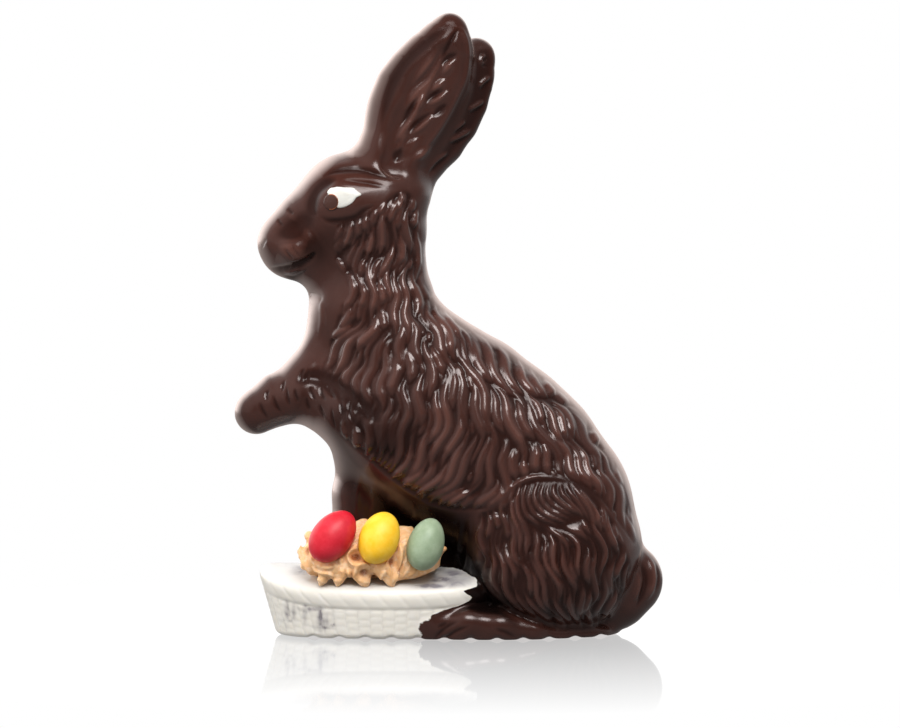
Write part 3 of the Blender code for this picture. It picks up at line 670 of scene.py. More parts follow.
upright = np.exp(-(((column + 0.5) % 1.0 - 0.5) * 4.7 / 0.55) ** 2)
across = np.exp(-(((shifted + 0.5) % 1.0 - 0.5) * 2.7 / 0.48) ** 2)
weave = 0.07 - 0.13 * upright - 0.075 * across
under_rope = -0.26 * np.exp(-((below - ROPE_WIDTH) / 0.7) ** 2)
in_weave = ramp(below, ROPE_WIDTH, ROPE_WIDTH + 0.8) * ramp(z, 0.8, 2.2)
bow = ramp(x, -69, -58)                              # the rope runs out at the tip
D += on_tub * wall * (np.where(in_rope, rope, 0) * bow + in_weave * weave + under_rope * bow * 0.8)
D[z < 0.12] = 0
P = V + N * D[:, None]
# scallops: the lower edge of the foot lifts off the ground between its points
notch = (0.5 + 0.5 * np.cos(2 * math.pi * (x + 2.0) / 9.2)) ** 3
level = np.full(len(x), 1.0)
border = ramp(np.minimum(tub(x, y, level), plinth(x, y, level)), -4.0, -1.5)
P[:, 2] += 0.78 * notch * border * ramp(2.2 - z, 0, 1.8) * ramp(x, -55, -47)
P[:, 2] = np.maximum(P[:, 2], 0.0)
# the finished skin stays inside the box of the solids
BOX = np.array(START, float) / MM
for k in range(3):
    over, under = P[:, k] - (BOX[1, k] - 0.05), (BOX[0, k] + (0.05 if k < 2 else 0.0)) - P[:, k]
    print("past the box", "xyz"[k], round(float(over.max()), 3), round(float(under.max()), 3))
    P[:, k] -= np.maximum(over, 0)
    P[:, k] += np.maximum(under, 0)

# white chocolate: signed distance, in mm, inside the white casting
edge_x = np.interp(z, [1.1, 3.9, 6.7, 8.75, 10.8, 11.7, 13.6, 15.0, 17.1, 18.5, 22], [-10.3, -8.2, -6.8, -6.4, -1.2, 2.3, 6.8, 7.5, 4.4, 9.4, 9.8])
white = np.minimum(edge_x - x, (f_rabbit - f_tub) * 0.9 - 0.15)


def mesh_piece(name, P, faces, smooth=True):
    me = bpy.data.meshes.new(name)
    P = np.asarray(P, np.float32) * MM
    faces = np.asarray(faces)
    me.vertices.add(len(P))
    me.vertices.foreach_set("co", P.ravel())
    k = faces.shape[1]
    me.loops.add(faces.size)
    me.loops.foreach_set("vertex_index", faces.astype(np.int32).ravel())
    me.polygons.add(len(faces))
    me.polygons.foreach_set("loop_start", np.arange(0, faces.size, k, dtype=np.int32))
    me.update(calc_edges=True)
    me.validate()
    if smooth:
        me.shade_smooth()
    ob = bpy.data.objects.new(name, me)
    bpy.context.collection.objects.link(ob)
    return ob


moulded = mesh_piece("moulded_figure", P, F)


def attribute(ob, name, values):
    a = ob.data.attributes.new(name, "FLOAT", "POINT")
    a.data.foreach_set("value", np.asarray(values, np.float32))


attribute(moulded, "white", white)
smear = np.zeros(len(P))
for cu, cv, ru, rv, amount in ((286, 617, 2.5, 10, 1.2), (293, 618, 2.2, 9, 1.1), (304.5, 616, 2.2, 10, 1.2), (320, 621, 2.6, 10, 1.5), (327, 623, 5, 7, 1.3), (332, 627, 2.4, 1.9, 3.6), (310, 611, 16, 2, .8), (289, 624, 7, 1.6, 1.0), (324, 629, 9, 2.2, 1.2),
                               (303, 563, 7, 2.4, 1.2), (300, 574, 10, 4, 1.0), (282, 567, 14, 3, .8),
                               (441, 581.5, 10, 2.2, 2.0), (433, 587, 13, 1.8, 2.0), (452, 577, 9, 2.2, 1.5), (456, 584, 12, 5.0, 1.0), (270, 567, 7, 1.5, .8)):
    cx, cz = at(cu, cv)
    cx, cz = cx * 0.98, 131 + (cz - 131) * 0.98
    smear = np.maximum(smear, amount * np.exp(-((x - cx) / (ru * .355)) ** 2 - ((z - cz) / (rv * .355)) ** 2))
attribute(moulded, "smear", smear * on_tub)
attribute(moulded, "low", np.clip(-D, -1.5, 1.5))
# groove and crest of the relief: the material paints shade into the grooves and light onto the crests
attribute(moulded, "groove", ramp(-D, -0.25, 0.60) * (1 - on_tub))
attribute(moulded, "crest", ramp(D, 0.35, 1.0) * (1 - on_tub))
# how open the form lies: 1 on a free face, toward 0 deep in a hollow; the material darkens the colour where it is low,
# painted shade
reach = [figure(*(V + N * d_).T) / d_ for d_ in (5.0, 12.0, 22.0, 34.0)]
openness = np.clip(np.stack(reach, 1), 0, 1).mean(1)
free = np.maximum(ramp(openness, 0.30, 0.80), 0.9 * ramp(z, 152, 166))
free = np.maximum(free, 0.8 * ramp(x, 16, 26) * ramp(16 - z, 0, 6))
# painted shade: the deep hollow between foreleg and thigh is darkened further, as it gets no light of its own
HOLLOW = [(400, 494), (432, 500), (464, 499), (479, 506), (479, 560), (484, 592), (502, 609), (470, 608), (440, 594), (420, 560), (404, 520)]
hollow = np.clip(blur(inside(HOLLOW).astype(float), 1.9), 0, 1)
free *= 1 - 0.92 * sample(hollow, x / 0.985, 131 + (z - 131) / 0.985) * ramp(30 - np.abs(y), 0, 6)
# half of this painted shade reaches the foreleg, under the arm and the belly
SHADE = [(322, 423), (344, 427), (366, 450), (392, 480), (410, 496), (412, 566), (352, 566), (346, 500), (340, 464), (331, 440)]
shade = np.clip(blur(inside(SHADE).astype(float), 1.8), 0, 1)
free *= 1 - 0.62 * sample(shade, x / 0.985, 131 + (z - 131) / 0.985) * ramp(26 - np.abs(y), 0, 6)
attribute(moulded, "open", free)
# where the polished skin is duller: over the eye, and at the tip of the near ear
dull = np.zeros(GX.shape)
for du, dv, dru, drv, turn in ((340, 177, 30, 8.5, 8), (364, 181, 20, 10, 8), (452, 29, 17, 16, 0), (300, 234, 18, 12, 38)):
    swell(dull, du, dv, dru, drv, 1.0, -turn)
swell(dull, 550, 479, 32, 8, 0.40)
dull = np.clip(sample(dull, x, z), 0, 1)
attribute(moulded, "dull", np.maximum(dull, 0.7 * ramp(z, 158, 170) * ramp(N[:, 0], 0.45, 0.8)))
# the broad bevel along the front edge of the ears
attribute(moulded, "band", ramp(z, 158, 170) * ramp(-N[:, 0], 0.15, 0.6))
me_form = moulded.data.attributes.new("form", "FLOAT_VECTOR", "POINT")
me_form.data.foreach_set("vector", N.astype(np.float32).ravel())
print("openness", np.percentile(openness, [1, 5, 25, 50, 75, 95]).round(2))


# ================================================================ materials
class Nodes:
    def __init__(self, name, world=False):
        self.mat = (bpy.data.worlds if world else bpy.data.materials).new(name)
        self.mat.use_nodes = True
        self.tree = self.mat.node_tree
        self.tree.nodes.clear()
        self.out = self.add("ShaderNodeOutputWorld" if world else "ShaderNodeOutputMaterial")

    def add(self, kind, **sockets):
        n = self.tree.nodes.new(kind)
        for key, value in sockets.items():
            if key.startswith("_"):
                setattr(n, key[1:], value)
            else:
                self.put(n, key.replace("__", " "), value)
        return n

    def put(self, n, key, value):
        s = n.inputs[int(key)] if key.isdigit() else n.inputs[key]
        if isinstance(value, bpy.types.NodeSocket):
            self.tree.links.new(value, s)
        elif hasattr(s.default_value, "__len__") and not isinstance(value, (int, float)):
            s.default_value = (*value, 1.0) if len(s.default_value) == 4 and len(value) == 3 else value
        else:
            s.default_value = value

    def math(self, op, a, b=0.0, c=0.0, clamp=False):
        n = self.tree.nodes.new("ShaderNodeMath")
        n.operation, n.use_clamp = op, clamp
        for i, v in enumerate((a, b, c)):
            self.put(n, str(i), v)
        return n.outputs[0]

    def noise(self, scale, detail=3.0, rough=0.5, coords=None, distortion=0.0):
        n = self.add("ShaderNodeTexNoise", Scale=scale, Detail=detail, Roughness=rough, Distortion=distortion)
        self.tree.links.new(coords or self.coords(), n.inputs["Vector"])
        return n.outputs["Fac"]

    def coords(self, scale=None):
        if not hasattr(self, "tc"):
            self.tc = self.tree.nodes.new("ShaderNodeTexCoord").outputs["Object"]
        if scale is None:
            return self.tc
        m = self.tree.nodes.new("ShaderNodeMapping")
        m.inputs["Scale"].default_value = scale
        self.tree.links.new(self.tc, m.inputs["Vector"])
        return m.outputs[0]

    def ramp(self, value, stops):
        n = self.tree.nodes.new("ShaderNodeValToRGB")
        self.tree.links.new(value, n.inputs[0])
        els = n.color_ramp.elements
        while len(els) < len(stops):
            els.new(0.5)
        for el, (pos, col) in zip(els, stops):
            el.position = pos
            el.color = (*col, 1.0) if not isinstance(col, (int, float)) else (col, col, col, 1.0)
        return n.outputs[0]

    def mix(self, fac, a, b):
        n = self.tree.nodes.new("ShaderNodeMix")
        n.data_type = "RGBA"
        self.put(n, "0", fac)
        for i, v in ((6, a), (7, b)):
            if isinstance(v, bpy.types.NodeSocket):
                self.tree.links.new(v, n.inputs[i])
            else:
                n.inputs[i].default_value = (*v, 1.0)
        return n.outputs[2]

    def attr(self, name):
        return self.add("ShaderNodeAttribute", _attribute_name=name).outputs["Fac"]

    def bump(self, height, distance, strength=1.0):
        return self.add("ShaderNodeBump", Height=height, Distance=distance, Strength=strength).outputs[0]


def srgb(r, g, b):
    return tuple(((c / 255 + 0.055) / 1.055) ** 2.4 if c > 10 else c / 255 / 12.92 for c in (r, g, b))


def dark_bsdf(n, moulded_=True):
    big = n.noise(35, 4, 0.55)
    colour = n.mix(n.ramp(big, [(0.35, 0.0), (0.7, 1.0)]), srgb(54, 28, 22), srgb(66, 36, 29))
    gloss_ = 0.55
    if moulded_:
        open_ = n.attr("open")
        # painted shade in the grooves between the locks, painted highlight on their crests
        colour = n.mix(n.math("MULTIPLY", n.attr("groove"), 0.70), colour, srgb(24, 11, 9))
        colour = n.mix(n.math("MULTIPLY", n.attr("crest"), 0.45), colour, srgb(98, 62, 53))
        # near black where the form is closed in: painted shade in the hollows
        colour = n.mix(open_, srgb(13, 7, 6), colour)
        gloss_ = n.math("MULTIPLY", n.math("MULTIPLY_ADD", n.attr("groove"), -0.34, 0.55), n.math("MULTIPLY_ADD", open_, 0.85, 0.15))
        # the polished skin mirrors the bright room where its form is met at a low angle
        form = n.add("ShaderNodeAttribute", _attribute_name="form").outputs["Vector"]
        across = n.add("ShaderNodeLayerWeight", Blend=0.5, Normal=form).outputs["Facing"]
        own = n.add("ShaderNodeLayerWeight", Blend=0.5).outputs["Facing"]
        glance = n.math("ADD", n.math("MULTIPLY", across, 0.78), n.math("MULTIPLY", own, 0.22))
        # broader and stronger on the side of the bright wall
        form_xyz = n.add("ShaderNodeSeparateXYZ", Vector=form)
        form_x, form_z = form_xyz.outputs[0], form_xyz.outputs[2]
        upper_back = n.math("MAXIMUM", n.math("MULTIPLY", form_x, form_z), 0.0)
        underside = n.math("MAXIMUM", n.math("MULTIPLY", form_z, -1.0), 0.0)
        onset = n.math("MULTIPLY_ADD", form_x, 0.22, 0.55)
        onset = n.math("MULTIPLY_ADD", upper_back, -0.55, onset)
        onset = n.math("MULTIPLY_ADD", underside, 0.06, onset)
        onset = n.math("MULTIPLY_ADD", n.math("MAXIMUM", n.math("MULTIPLY", form_x, -1.0), 0.0), -0.10, onset)
        onset = n.math("MAXIMUM", n.math("MINIMUM", n.math("MULTIPLY_ADD", n.attr("band"), -0.40, onset), 0.9), 0.04)
        glance = n.math("DIVIDE", n.math("SUBTRACT", glance, onset), n.math("SUBTRACT", 1.0, onset), clamp=True)
        toward = n.math("MULTIPLY_ADD", upper_back, 0.45, 0.90)
        gloss_ = n.math("MULTIPLY", gloss_, n.math("MULTIPLY_ADD", n.attr("dull"), -0.85, 1.0))
        glance = n.math("MULTIPLY", n.math("MULTIPLY", glance, n.math("MULTIPLY", toward, RIM)), open_)
    fine = n.noise(900, 3, 0.6)
    rough = n.math("MULTIPLY_ADD", n.noise(120, 4, 0.6), 0.12, 0.17)
    body_ = n.add("ShaderNodeBsdfPrincipled", Base__Color=colour, Roughness=rough, IOR=1.5, Specular__IOR__Level=gloss_,
                  Specular__Tint=(1.0, 0.92, 0.90), Normal=n.bump(fine, 0.00004, 0.5))
    if not moulded_:
        return body_
    skin_gloss = n.add("ShaderNodeBsdfGlossy", Color=srgb(238, 217, 209), Roughness=0.38, Normal=form)
    return n.add("ShaderNodeMixShader", **{"0": glance, "1": body_.outputs[0], "2": skin_gloss.outputs[0]})


def white_bsdf(n):
    streak = n.noise(160, 4, 0.6, n.coords((1.0, 1.0, 0.45)), 0.6)
    haze = n.ramp(n.noise(60, 3, 0.5), [(0.3, 0.0), (0.75, 1.0)])
    base = n.mix(haze, srgb(222, 217, 208), srgb(230, 225, 215))
    # the dark chocolate has stayed mostly in the lines of the weave
    caught = n.math("MULTIPLY_ADD", n.attr("low"), 4.5, 1.05)
    amount = n.math("MULTIPLY", n.math("MULTIPLY", n.attr("smear"), caught), n.ramp(streak, [(0.34, 0.12), (0.60, 1.0)]), clamp=True)
    # greyer in the low lines of the weave and rope: painted shade
    low = n.math("MULTIPLY_ADD", n.attr("low"), 1.9, 0.0, clamp=True)
    base = n.mix(low, base, srgb(190, 184, 176))
    # the upward faces of the basket are greyer: painted shade on the top
    up = n.add("ShaderNodeSeparateXYZ", Vector=n.add("ShaderNodeAttribute", _attribute_name="form").outputs["Vector"]).outputs[2]
    base = n.mix(n.math("MULTIPLY_ADD", up, 0.95, -0.1, clamp=True), base, srgb(190, 187, 184))
    colour = n.mix(n.math("MULTIPLY", amount, 0.78), base, srgb(88, 80, 94))
    return n.add("ShaderNodeBsdfPrincipled", Base__Color=colour, Roughness=0.33, IOR=1.46, Subsurface__Weight=0.25,
                 Subsurface__Radius=(0.0030, 0.0026, 0.0020), Subsurface__Scale=0.6, Normal=n.bump(n.noise(500, 3, 0.5), 0.00005, 0.4))


def moulded_material():
    n = Nodes("moulded_chocolate")
    dark, white_ = dark_bsdf(n), white_bsdf(n)
    ragged = n.math("MULTIPLY_ADD", n.noise(300, 4, 0.6), 1.8, -0.9)
    inside_ = n.math("ADD", n.attr("white"), ragged)
    fac = n.math("MULTIPLY_ADD", inside_, 4.0, 0.5, clamp=True)
    # a thin dark line where the two mould halves meet
    sep = n.add("ShaderNodeSeparateXYZ", Vector=n.coords())
    seam = n.math("LESS_THAN", n.math("ABSOLUTE", n.math("ADD", sep.outputs[1], n.math("MULTIPLY_ADD", n.noise(90), 0.0006, -0.0003))), 0.00022)
    broken = n.math("GREATER_THAN", n.noise(110, 2), 0.47)
    fac = n.math("MULTIPLY", fac, n.math("SUBTRACT", 1.0, n.math("MULTIPLY", seam, broken)))
    mix = n.add("ShaderNodeMixShader", **{"0": fac, "1": dark.outputs[0], "2": white_.outputs[0]})
    n.put(n.out, "Surface", mix.outputs[0])
    return n.mat


def plain_material(name, maker):
    n = Nodes(name)
    n.put(n.out, "Surface", maker(n).outputs[0])
    return n.mat


moulded.data.materials.append(moulded_material())


def eye_bsdf(n):
    colour = n.mix(n.ramp(n.noise(220, 3), [(0.35, 0.0), (0.7, 1.0)]), srgb(208, 207, 201), srgb(198, 195, 187))
    return n.add("ShaderNodeBsdfPrincipled", Base__Color=colour, Roughness=0.28, IOR=1.46, Subsurface__Weight=0.15, Subsurface__Radius=(0.002, 0.0018, 0.0015),
                 Subsurface__Scale=0.5, Normal=n.bump(n.noise(600, 2), 0.00005, 0.4))


eye_mat = plain_material("eye_white_chocolate", eye_bsdf)


def sugar(name, main, light):
    n = Nodes(name)
    mottled = n.ramp(n.noise(230, 5, 0.65), [(0.38, 0.0), (0.66, 1.0)])
    speck = n.ramp(n.noise(1300, 3, 0.7), [(0.52, 0.0), (0.78, 1.0)])
    colour = n.mix(mottled, main, light)
    colour = n.mix(n.math("MULTIPLY", speck, 0.35), colour, light)
    s = n.add("ShaderNodeBsdfPrincipled", Base__Color=colour, Roughness=n.math("MULTIPLY_ADD", speck, 0.15, 0.42), IOR=1.47, Specular__IOR__Level=0.40, Subsurface__Weight=0.12,
              Subsurface__Radius=(0.002, 0.0015, 0.001), Subsurface__Scale=0.5, Normal=n.bump(n.noise(700, 4, 0.6), 0.00008, 0.5))
    n.put(n.out, "Surface", s.outputs[0])
    return n.mat


# =============================================================== small pieces
def skin(outline, side_):
    """A smooth y(x, z) through the finished surface under an outline."""
    u, v = np.array(outline, float).T
    px, pz = at(u, v)
    near = (P[:, 0] > px.min() - 1) & (P[:, 0] < px.max() + 1) & (P[:, 2] > pz.min() - 1) & (P[:, 2] < pz.max() + 1) & (P[:, 1] * side_ > 8)
    cx, cz = px.mean(), pz.mean()

    def terms(a, b):
        a, b = np.asarray(a, float) - cx, np.asarray(b, float) - cz
        return np.stack([np.ones_like(a), a, b, a * a, a * b, b * b, a ** 3, a * a * b, a * b * b, b ** 3], -1)

    k = np.linalg.lstsq(terms(P[near, 0], P[near, 2]), P[near, 1], rcond=None)[0]
    return lambda a, b: float(terms(a, b) @ k)


def patch(name, outline, side_, raise_, rim, surface_y, rings=10, dome=0.0):
    """A thin domed inlay with the given outline, following the surface."""
    line = curve(outline + [outline[0]], 72)[:-1]
    centre = line.mean(0)
    pts, faces = [], []
    m = len(line)
    for back in (0, 1):
        for k in range(rings + 1):
            t = 1 - k / rings
            for q in line:
                px, pz = centre + (q - centre) * t
                y0 = surface_y(px, pz)
                out = raise_ * (1 - t ** 8) + rim * t ** 8 + dome * (1 - t * t)
                pts.append((px, y0 + side_ * (out if not back else -1.0), pz))
    def vid(b, k, j):
        return b * (rings + 1) * m + k * m + j % m
    for k in range(rings):
        for j in range(m):
            faces.append((vid(0, k, j), vid(0, k, j + 1), vid(0, k + 1, j + 1), vid(0, k + 1, j)))
            faces.append((vid(1, k, j), vid(1, k + 1, j), vid(1, k + 1, j + 1), vid(1, k, j + 1)))
    for j in range(m):
        faces.append((vid(0, 0, j), vid(1, 0, j), vid(1, 0, j + 1), vid(0, 0, j + 1)))
    bm = bmesh.new()
    vs = [bm.verts.new(Vector(p) * MM) for p in pts]
    for f in faces:
        try:
            bm.faces.new([vs[i] for i in f])
        except ValueError:
            pass
    bmesh.ops.remove_doubles(bm, verts=bm.verts, dist=0.00002)
    bmesh.ops.recalc_face_normals(bm, faces=bm.faces)
    me = bpy.data.meshes.new(name)
    bm.to_mesh(me)
    bm.free()
    me.shade_smooth()
    ob = bpy.data.objects.new(name, me)
    bpy.context.collection.objects.link(ob)
    return ob


EYE = [(329, 193), (331.5, 189.5), (337, 187.7), (346, 188.3), (355, 188.8), (358.5, 191.5), (363, 195.4), (358, 198.5), (354, 203.5), (347, 207.5), (340, 208.3), (334, 204)]
IRIS = [(333 + 7.4 * math.cos(a), 202.6 + 7.8 * math.sin(a)) for a in np.linspace(0, 2 * math.pi, 14, endpoint=False)]


def iris_material():
    """Dark chocolate, thinned to a warm brown line where it lies over the white."""
    n = Nodes("dark_chocolate_iris")
    s = dark_bsdf(n, False)
    edge = n.math("MULTIPLY_ADD", n.attr("rim"), 9.0, -7.9, clamp=True)
    n.put(s, "Base Color", n.mix(edge, srgb(62, 36, 29), srgb(168, 92, 48)))
    n.put(n.out, "Surface", s.outputs[0])
    return n.mat


iris_mat = iris_material()
for side_, word in ((-1, "left"), (1, "right")):
    skin_y = skin(EYE, side_)
    eye = patch("eye_" + word, EYE, side_, 0.40, 0.18, skin_y)
    eye.data.materials.append(eye_mat)
    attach(eye, "root")
    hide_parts("eye_white_" + word)
    iris = patch("iris_" + word, IRIS, side_, 0.58, 0.44, skin_y)
    flat_at = np.array([tuple(v.co) for v in iris.data.vertices]) / MM
    ix, iz = at(333, 202.6)
    attribute(iris, "rim", np.hypot(flat_at[:, 0] - ix, flat_at[:, 2] - iz) / (7.6 * 0.355) * (flat_at[:, 0] > ix - 0.6))
    iris.data.materials.append(iris_mat)
    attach(iris, "root")

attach(moulded, "root")
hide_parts("chocolate_bunny", "basket")

# ---- sugar eggs
EGGS = {
    "egg_red": (-40.9, -29.4, 36.6, 10.2, 7.1, 39, sugar("sugar_red", srgb(195, 20, 39), srgb(208, 42, 58))),
    "egg_yellow": (-24.6, -29.9, 36.0, 9.6, 6.9, 22, sugar("sugar_yellow", srgb(240, 186, 27), srgb(245, 199, 66))),
    "egg_green": (-8.4, -29.0, 33.7, 9.4, 6.4, 16, sugar("sugar_green", srgb(132, 149, 120), srgb(150, 165, 138))),
}
for k, (name, (ex_, ey_, ez_, hl, hw, lean, mat)) in enumerate(EGGS.items()):
    g = np.random.default_rng(40 + k)
    bm = bmesh.new()
    bmesh.ops.create_icosphere(bm, subdivisions=5, radius=1.0)
    turn = Matrix.Rotation(math.radians(lean), 4, "Y") @ Matrix.Rotation(math.radians(-12), 4, "X")
    waves = g.normal(0, 1, (6, 3)) * 2.2
    shift = g.uniform(0, 6.3, 6)
    for v in bm.verts:
        c = v.co.copy()
        taper = 1.0 - 0.07 * c.z
        uneven = 1.0 + 0.006 * sum(math.sin(w[0] * c.x + w[1] * c.y + w[2] * c.z + s) for w, s in zip(waves, shift))
        v.co = turn @ (Vector((c.x * hw * taper * uneven, c.y * hw * taper * uneven, c.z * hl * uneven)) * MM) + Vector((ex_, ey_, ez_)) * MM
    me = bpy.data.meshes.new(name + "_coated")
    bm.to_mesh(me)
    bm.free()
    me.shade_smooth()
    ob = bpy.data.objects.new(name + "_coated", me)
    bpy.context.collection.objects.link(ob)
    me.materials.append(mat)
    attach(ob, "root")
    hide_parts(name)

# ---- piped cream: one soft mass with drawn-out points, and folds over its face
# blend width, y, balls
CREAM = [
    (2.5, -19.0, [(-45.5, 28.7, 6.2, 8), (-38, 30.2, 7.5, 9.5), (-28, 30.6, 8.6, 10), (-18, 30.6, 8.3, 10), (-10, 30.2, 6.5, 8)]),
    (2.5, -15.5, [(-44, 25.5, 4.8, 6), (-28, 26, 5.5, 6.5), (-12, 25.5, 5, 6)]),
    (2.0, -17.0, [(-43, 30, 6, 6), (-49.4, 35.8, 1.8, 2.4)]),
    (2.0, -19.0, [(-43, 28, 6, 7), (-52.2, 30.4, 1.4, 2)]),
    (2.0, -21.5, [(-45, 27, 5.4, 6.5), (-51, 25.6, 1.4, 2)]),
    (2.5, -17.0, [(-31, 31, 7, 7), (-31, 38.2, 3.4, 4), (-30, 40.4, 1.5, 2)]),
    (2.0, -17.0, [(-17, 32, 6.5, 6), (-15.8, 36.6, 2.4, 3), (-13.8, 38.4, 0.8, 1.2)]),
    (1.6, -18.0, [(-9, 29.5, 6, 6), (-2.0, 31.4, 0.9, 1.3)]),
    (1.6, -19.0, [(-9, 27.5, 6, 6), (-4.7, 25.8, 1.0, 1.4)]),
    (2.0, -23.0, [(-20.0, 21.4, 1.4, 4), (-14, 25.0, 3.6, 5.5), (-8, 28.0, 4.6, 6)]),
    (1.4, -26.6, [(-42.2, 25.6, 4.5, 3.4), (-44.4, 21.4, 1.6, 2.0), (-45.6, 18.7, 0.3, 0.6)]),
    (1.4, -26.6, [(-37.4, 25.6, 4.3, 3.4), (-38.8, 21.2, 1.6, 2.0), (-39.7, 18.3, 0.3, 0.6)]),
    (1.4, -26.8, [(-31.2, 25.2, 5.0, 3.6), (-30.0, 21.0, 2.2, 2.2), (-29.0, 18.3, 0.4, 0.6)]),
    (1.4, -27.0, [(-23.0, 25.6, 4.8, 3.4), (-20.8, 21.0, 1.7, 2.0), (-19.5, 17.9, 0.3, 0.6)]),
]
# side-view points, half width, height
FOLDS = [
    ([(365, 552), (359, 549), (352, 550), (348, 555), (349, 561), (355, 565), (363, 563)], 1.5, 1.3), ([(371, 566), (364, 564), (358, 568), (356, 575), (360, 581), (367, 583), (373, 580)], 1.5, 1.3),
    ([(350, 543), (344, 549), (341, 557), (341, 564)], 1.5, 0.9), ([(398, 541), (401, 550), (400, 560), (397, 572), (394, 586)], 1.7, 1.5), ([(386, 560), (389, 569), (392, 581)], 1.4, 0.8),
    ([(303, 543), (301.5, 553), (304, 563), (311, 572), (321, 584)], 1.5, 1.1), ([(311, 556), (316, 563), (325, 567), (335, 566)], 1.5, 1.0), ([(312, 566), (321, 572), (331, 574), (337.5, 586)], 1.4, 1.1),
    ([(341, 567), (343, 576), (339, 586)], 1.3, 0.9), ([(348, 569), (351, 578), (361, 586)], 1.3, 0.9), ([(372, 586), (381, 579), (386, 569)], 1.4, 0.8)]
HOLLOWS = [(356, 557, 4.2, 2.8, -1.5), (364.5, 573, 4.0, 3.2, -1.5), (374, 579, 2.2, 4.0, -1.3), (330, 581, 3.2, 4.0, -1.0), (348, 585, 4.0, 3.0, -0.9), (381, 587, 4.5, 3.0, -1.0), (392, 562, 3.0, 6.0, -0.8), (306, 551, 2.5, 5.0, -0.7)]
cream_map = np.zeros(GX.shape)
for points, half, height in FOLDS:
    stroke(cream_map, points, half * 0.85, height * 1.25, 0.18)
for u, v, ru, rv, height in HOLLOWS:
    swell(cream_map, u, v, ru, rv, height * 1.25)
for u, v in ((405, 540), (409.5, 552), (414, 561), (420, 567), (428, 571), (437, 568)):      # combed fan
    stroke(cream_map, [(395, 587), ((395 + u) / 2 + 1, (587 + v) / 2), (u, v)], 0.95, 0.5, 0.3)
for v in (525, 530, 535, 540, 545):                                                          # ripples between the eggs
    stroke(cream_map, [(351, v + 2.5), (359, v), (367, v + 1)], 1.0, 0.75, 0.3)
    stroke(cream_map, [(401, v + 2), (406, v), (412, v + 1)], 1.0, 0.45, 0.3)


def egg_forms(x, y, z):
    f = None
    for ex_, ey_, ez_, hl, hw, lean, _ in EGGS.values():
        turn = Matrix.Rotation(math.radians(lean), 3, "Y") @ Matrix.Rotation(math.radians(-12), 3, "X")
        q = np.stack([x - ex_, y - ey_, z - ez_], -1) @ np.array(turn)
        e = (np.sqrt((q[..., 0] / hw) ** 2 + (q[..., 1] / hw) ** 2 + (q[..., 2] / hl) ** 2) - 1) * hw
        f = e if f is None else np.minimum(f, e)
    return f


def cream_form(x, y, z):
    f = None
    for k, yc, balls in CREAM:
        c = limb(x, y, z, 2.0, 0, yc, balls, 1.0)
        f = c if f is None else smin(f, c, k)
    f = smax(f, tub_top(y) - 0.15 - z, 0.4)                    # rests on the basket
    f = smax(f, 0.15 - rabbit(x, y, z), 0.5)                   # against the leg
    return smax(f, 0.10 - egg_forms(x, y, z), 0.4)             # and holds the eggs


CV, CF = surface_nets(cream_form, (-57, -33, 15), (4, -6, 45), 1.1)
CV = even_out(cream_form, project(cream_form, CV, 3), CF, 1)
for _ in range(2):
    CV, CF = split(CV, CF)
    CV = project(cream_form, CV, 1)
CN = gradient(cream_form, CV)
CN /= np.linalg.norm(CN, axis=1, keepdims=True) + 1e-9
face_on = ramp(-CN[:, 1], 0.05, 0.45) * ramp(CV[:, 2] - tub_top(CV[:, 1]), -0.1, 0.8) * ramp(egg_forms(*CV.T), 0.15, 0.8)
CD = sample(cream_map, CV[:, 0] / 0.982, 131 + (CV[:, 2] - 131) / 0.982)
grain = np.array([0.16 * noise.noise(Vector(p) * 0.8) + 0.13 * noise.noise(Vector(p) * 1.9) for p in CV])
CD *= ramp(CV[:, 2], 18.5, 24.5)                                # the drawn-out points stay sharp
CD = (CD + grain * 0.8) * face_on + grain * (1 - face_on) * 0.5
cream = mesh_piece("cream_piping", CV + CN * CD[:, None], CF)
# depth of the folds, which the material darkens: painted shade
attribute(cream, "fold", np.clip(-CD, -1, 1))
me = cream.data


def cream_bsdf(n):
    soft = n.ramp(n.noise(130, 4, 0.6), [(0.35, 0.0), (0.7, 1.0)])
    colour = n.mix(soft, srgb(236, 188, 136), srgb(224, 168, 112))
    # darker in the concave spots and in the folds: painted shade
    hollow = n.add("ShaderNodeNewGeometry").outputs["Pointiness"]
    colour = n.mix(n.ramp(hollow, [(0.40, 0.9), (0.49, 0.0)]), colour, srgb(170, 104, 58))
    colour = n.mix(n.math("MULTIPLY_ADD", n.attr("fold"), 1.3, -0.05, clamp=True), colour, srgb(160, 96, 52))
    bloom = n.ramp(n.noise(420, 5, 0.7), [(0.47, 0.0), (0.66, 1.0)])
    colour = n.mix(n.math("MULTIPLY", bloom, 0.42), colour, srgb(244, 226, 202))
    return n.add("ShaderNodeBsdfPrincipled", Base__Color=colour, Roughness=0.55, IOR=1.45, Subsurface__Weight=0.15, Subsurface__Radius=(0.002, 0.0013, 0.0008),
                 Subsurface__Scale=0.5, Normal=n.bump(n.noise(650, 4, 0.65), 0.0002, 0.6))


me.materials.clear()
me.materials.append(plain_material("praline_cream", cream_bsdf))
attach(cream, "root")
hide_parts("piped_cream")

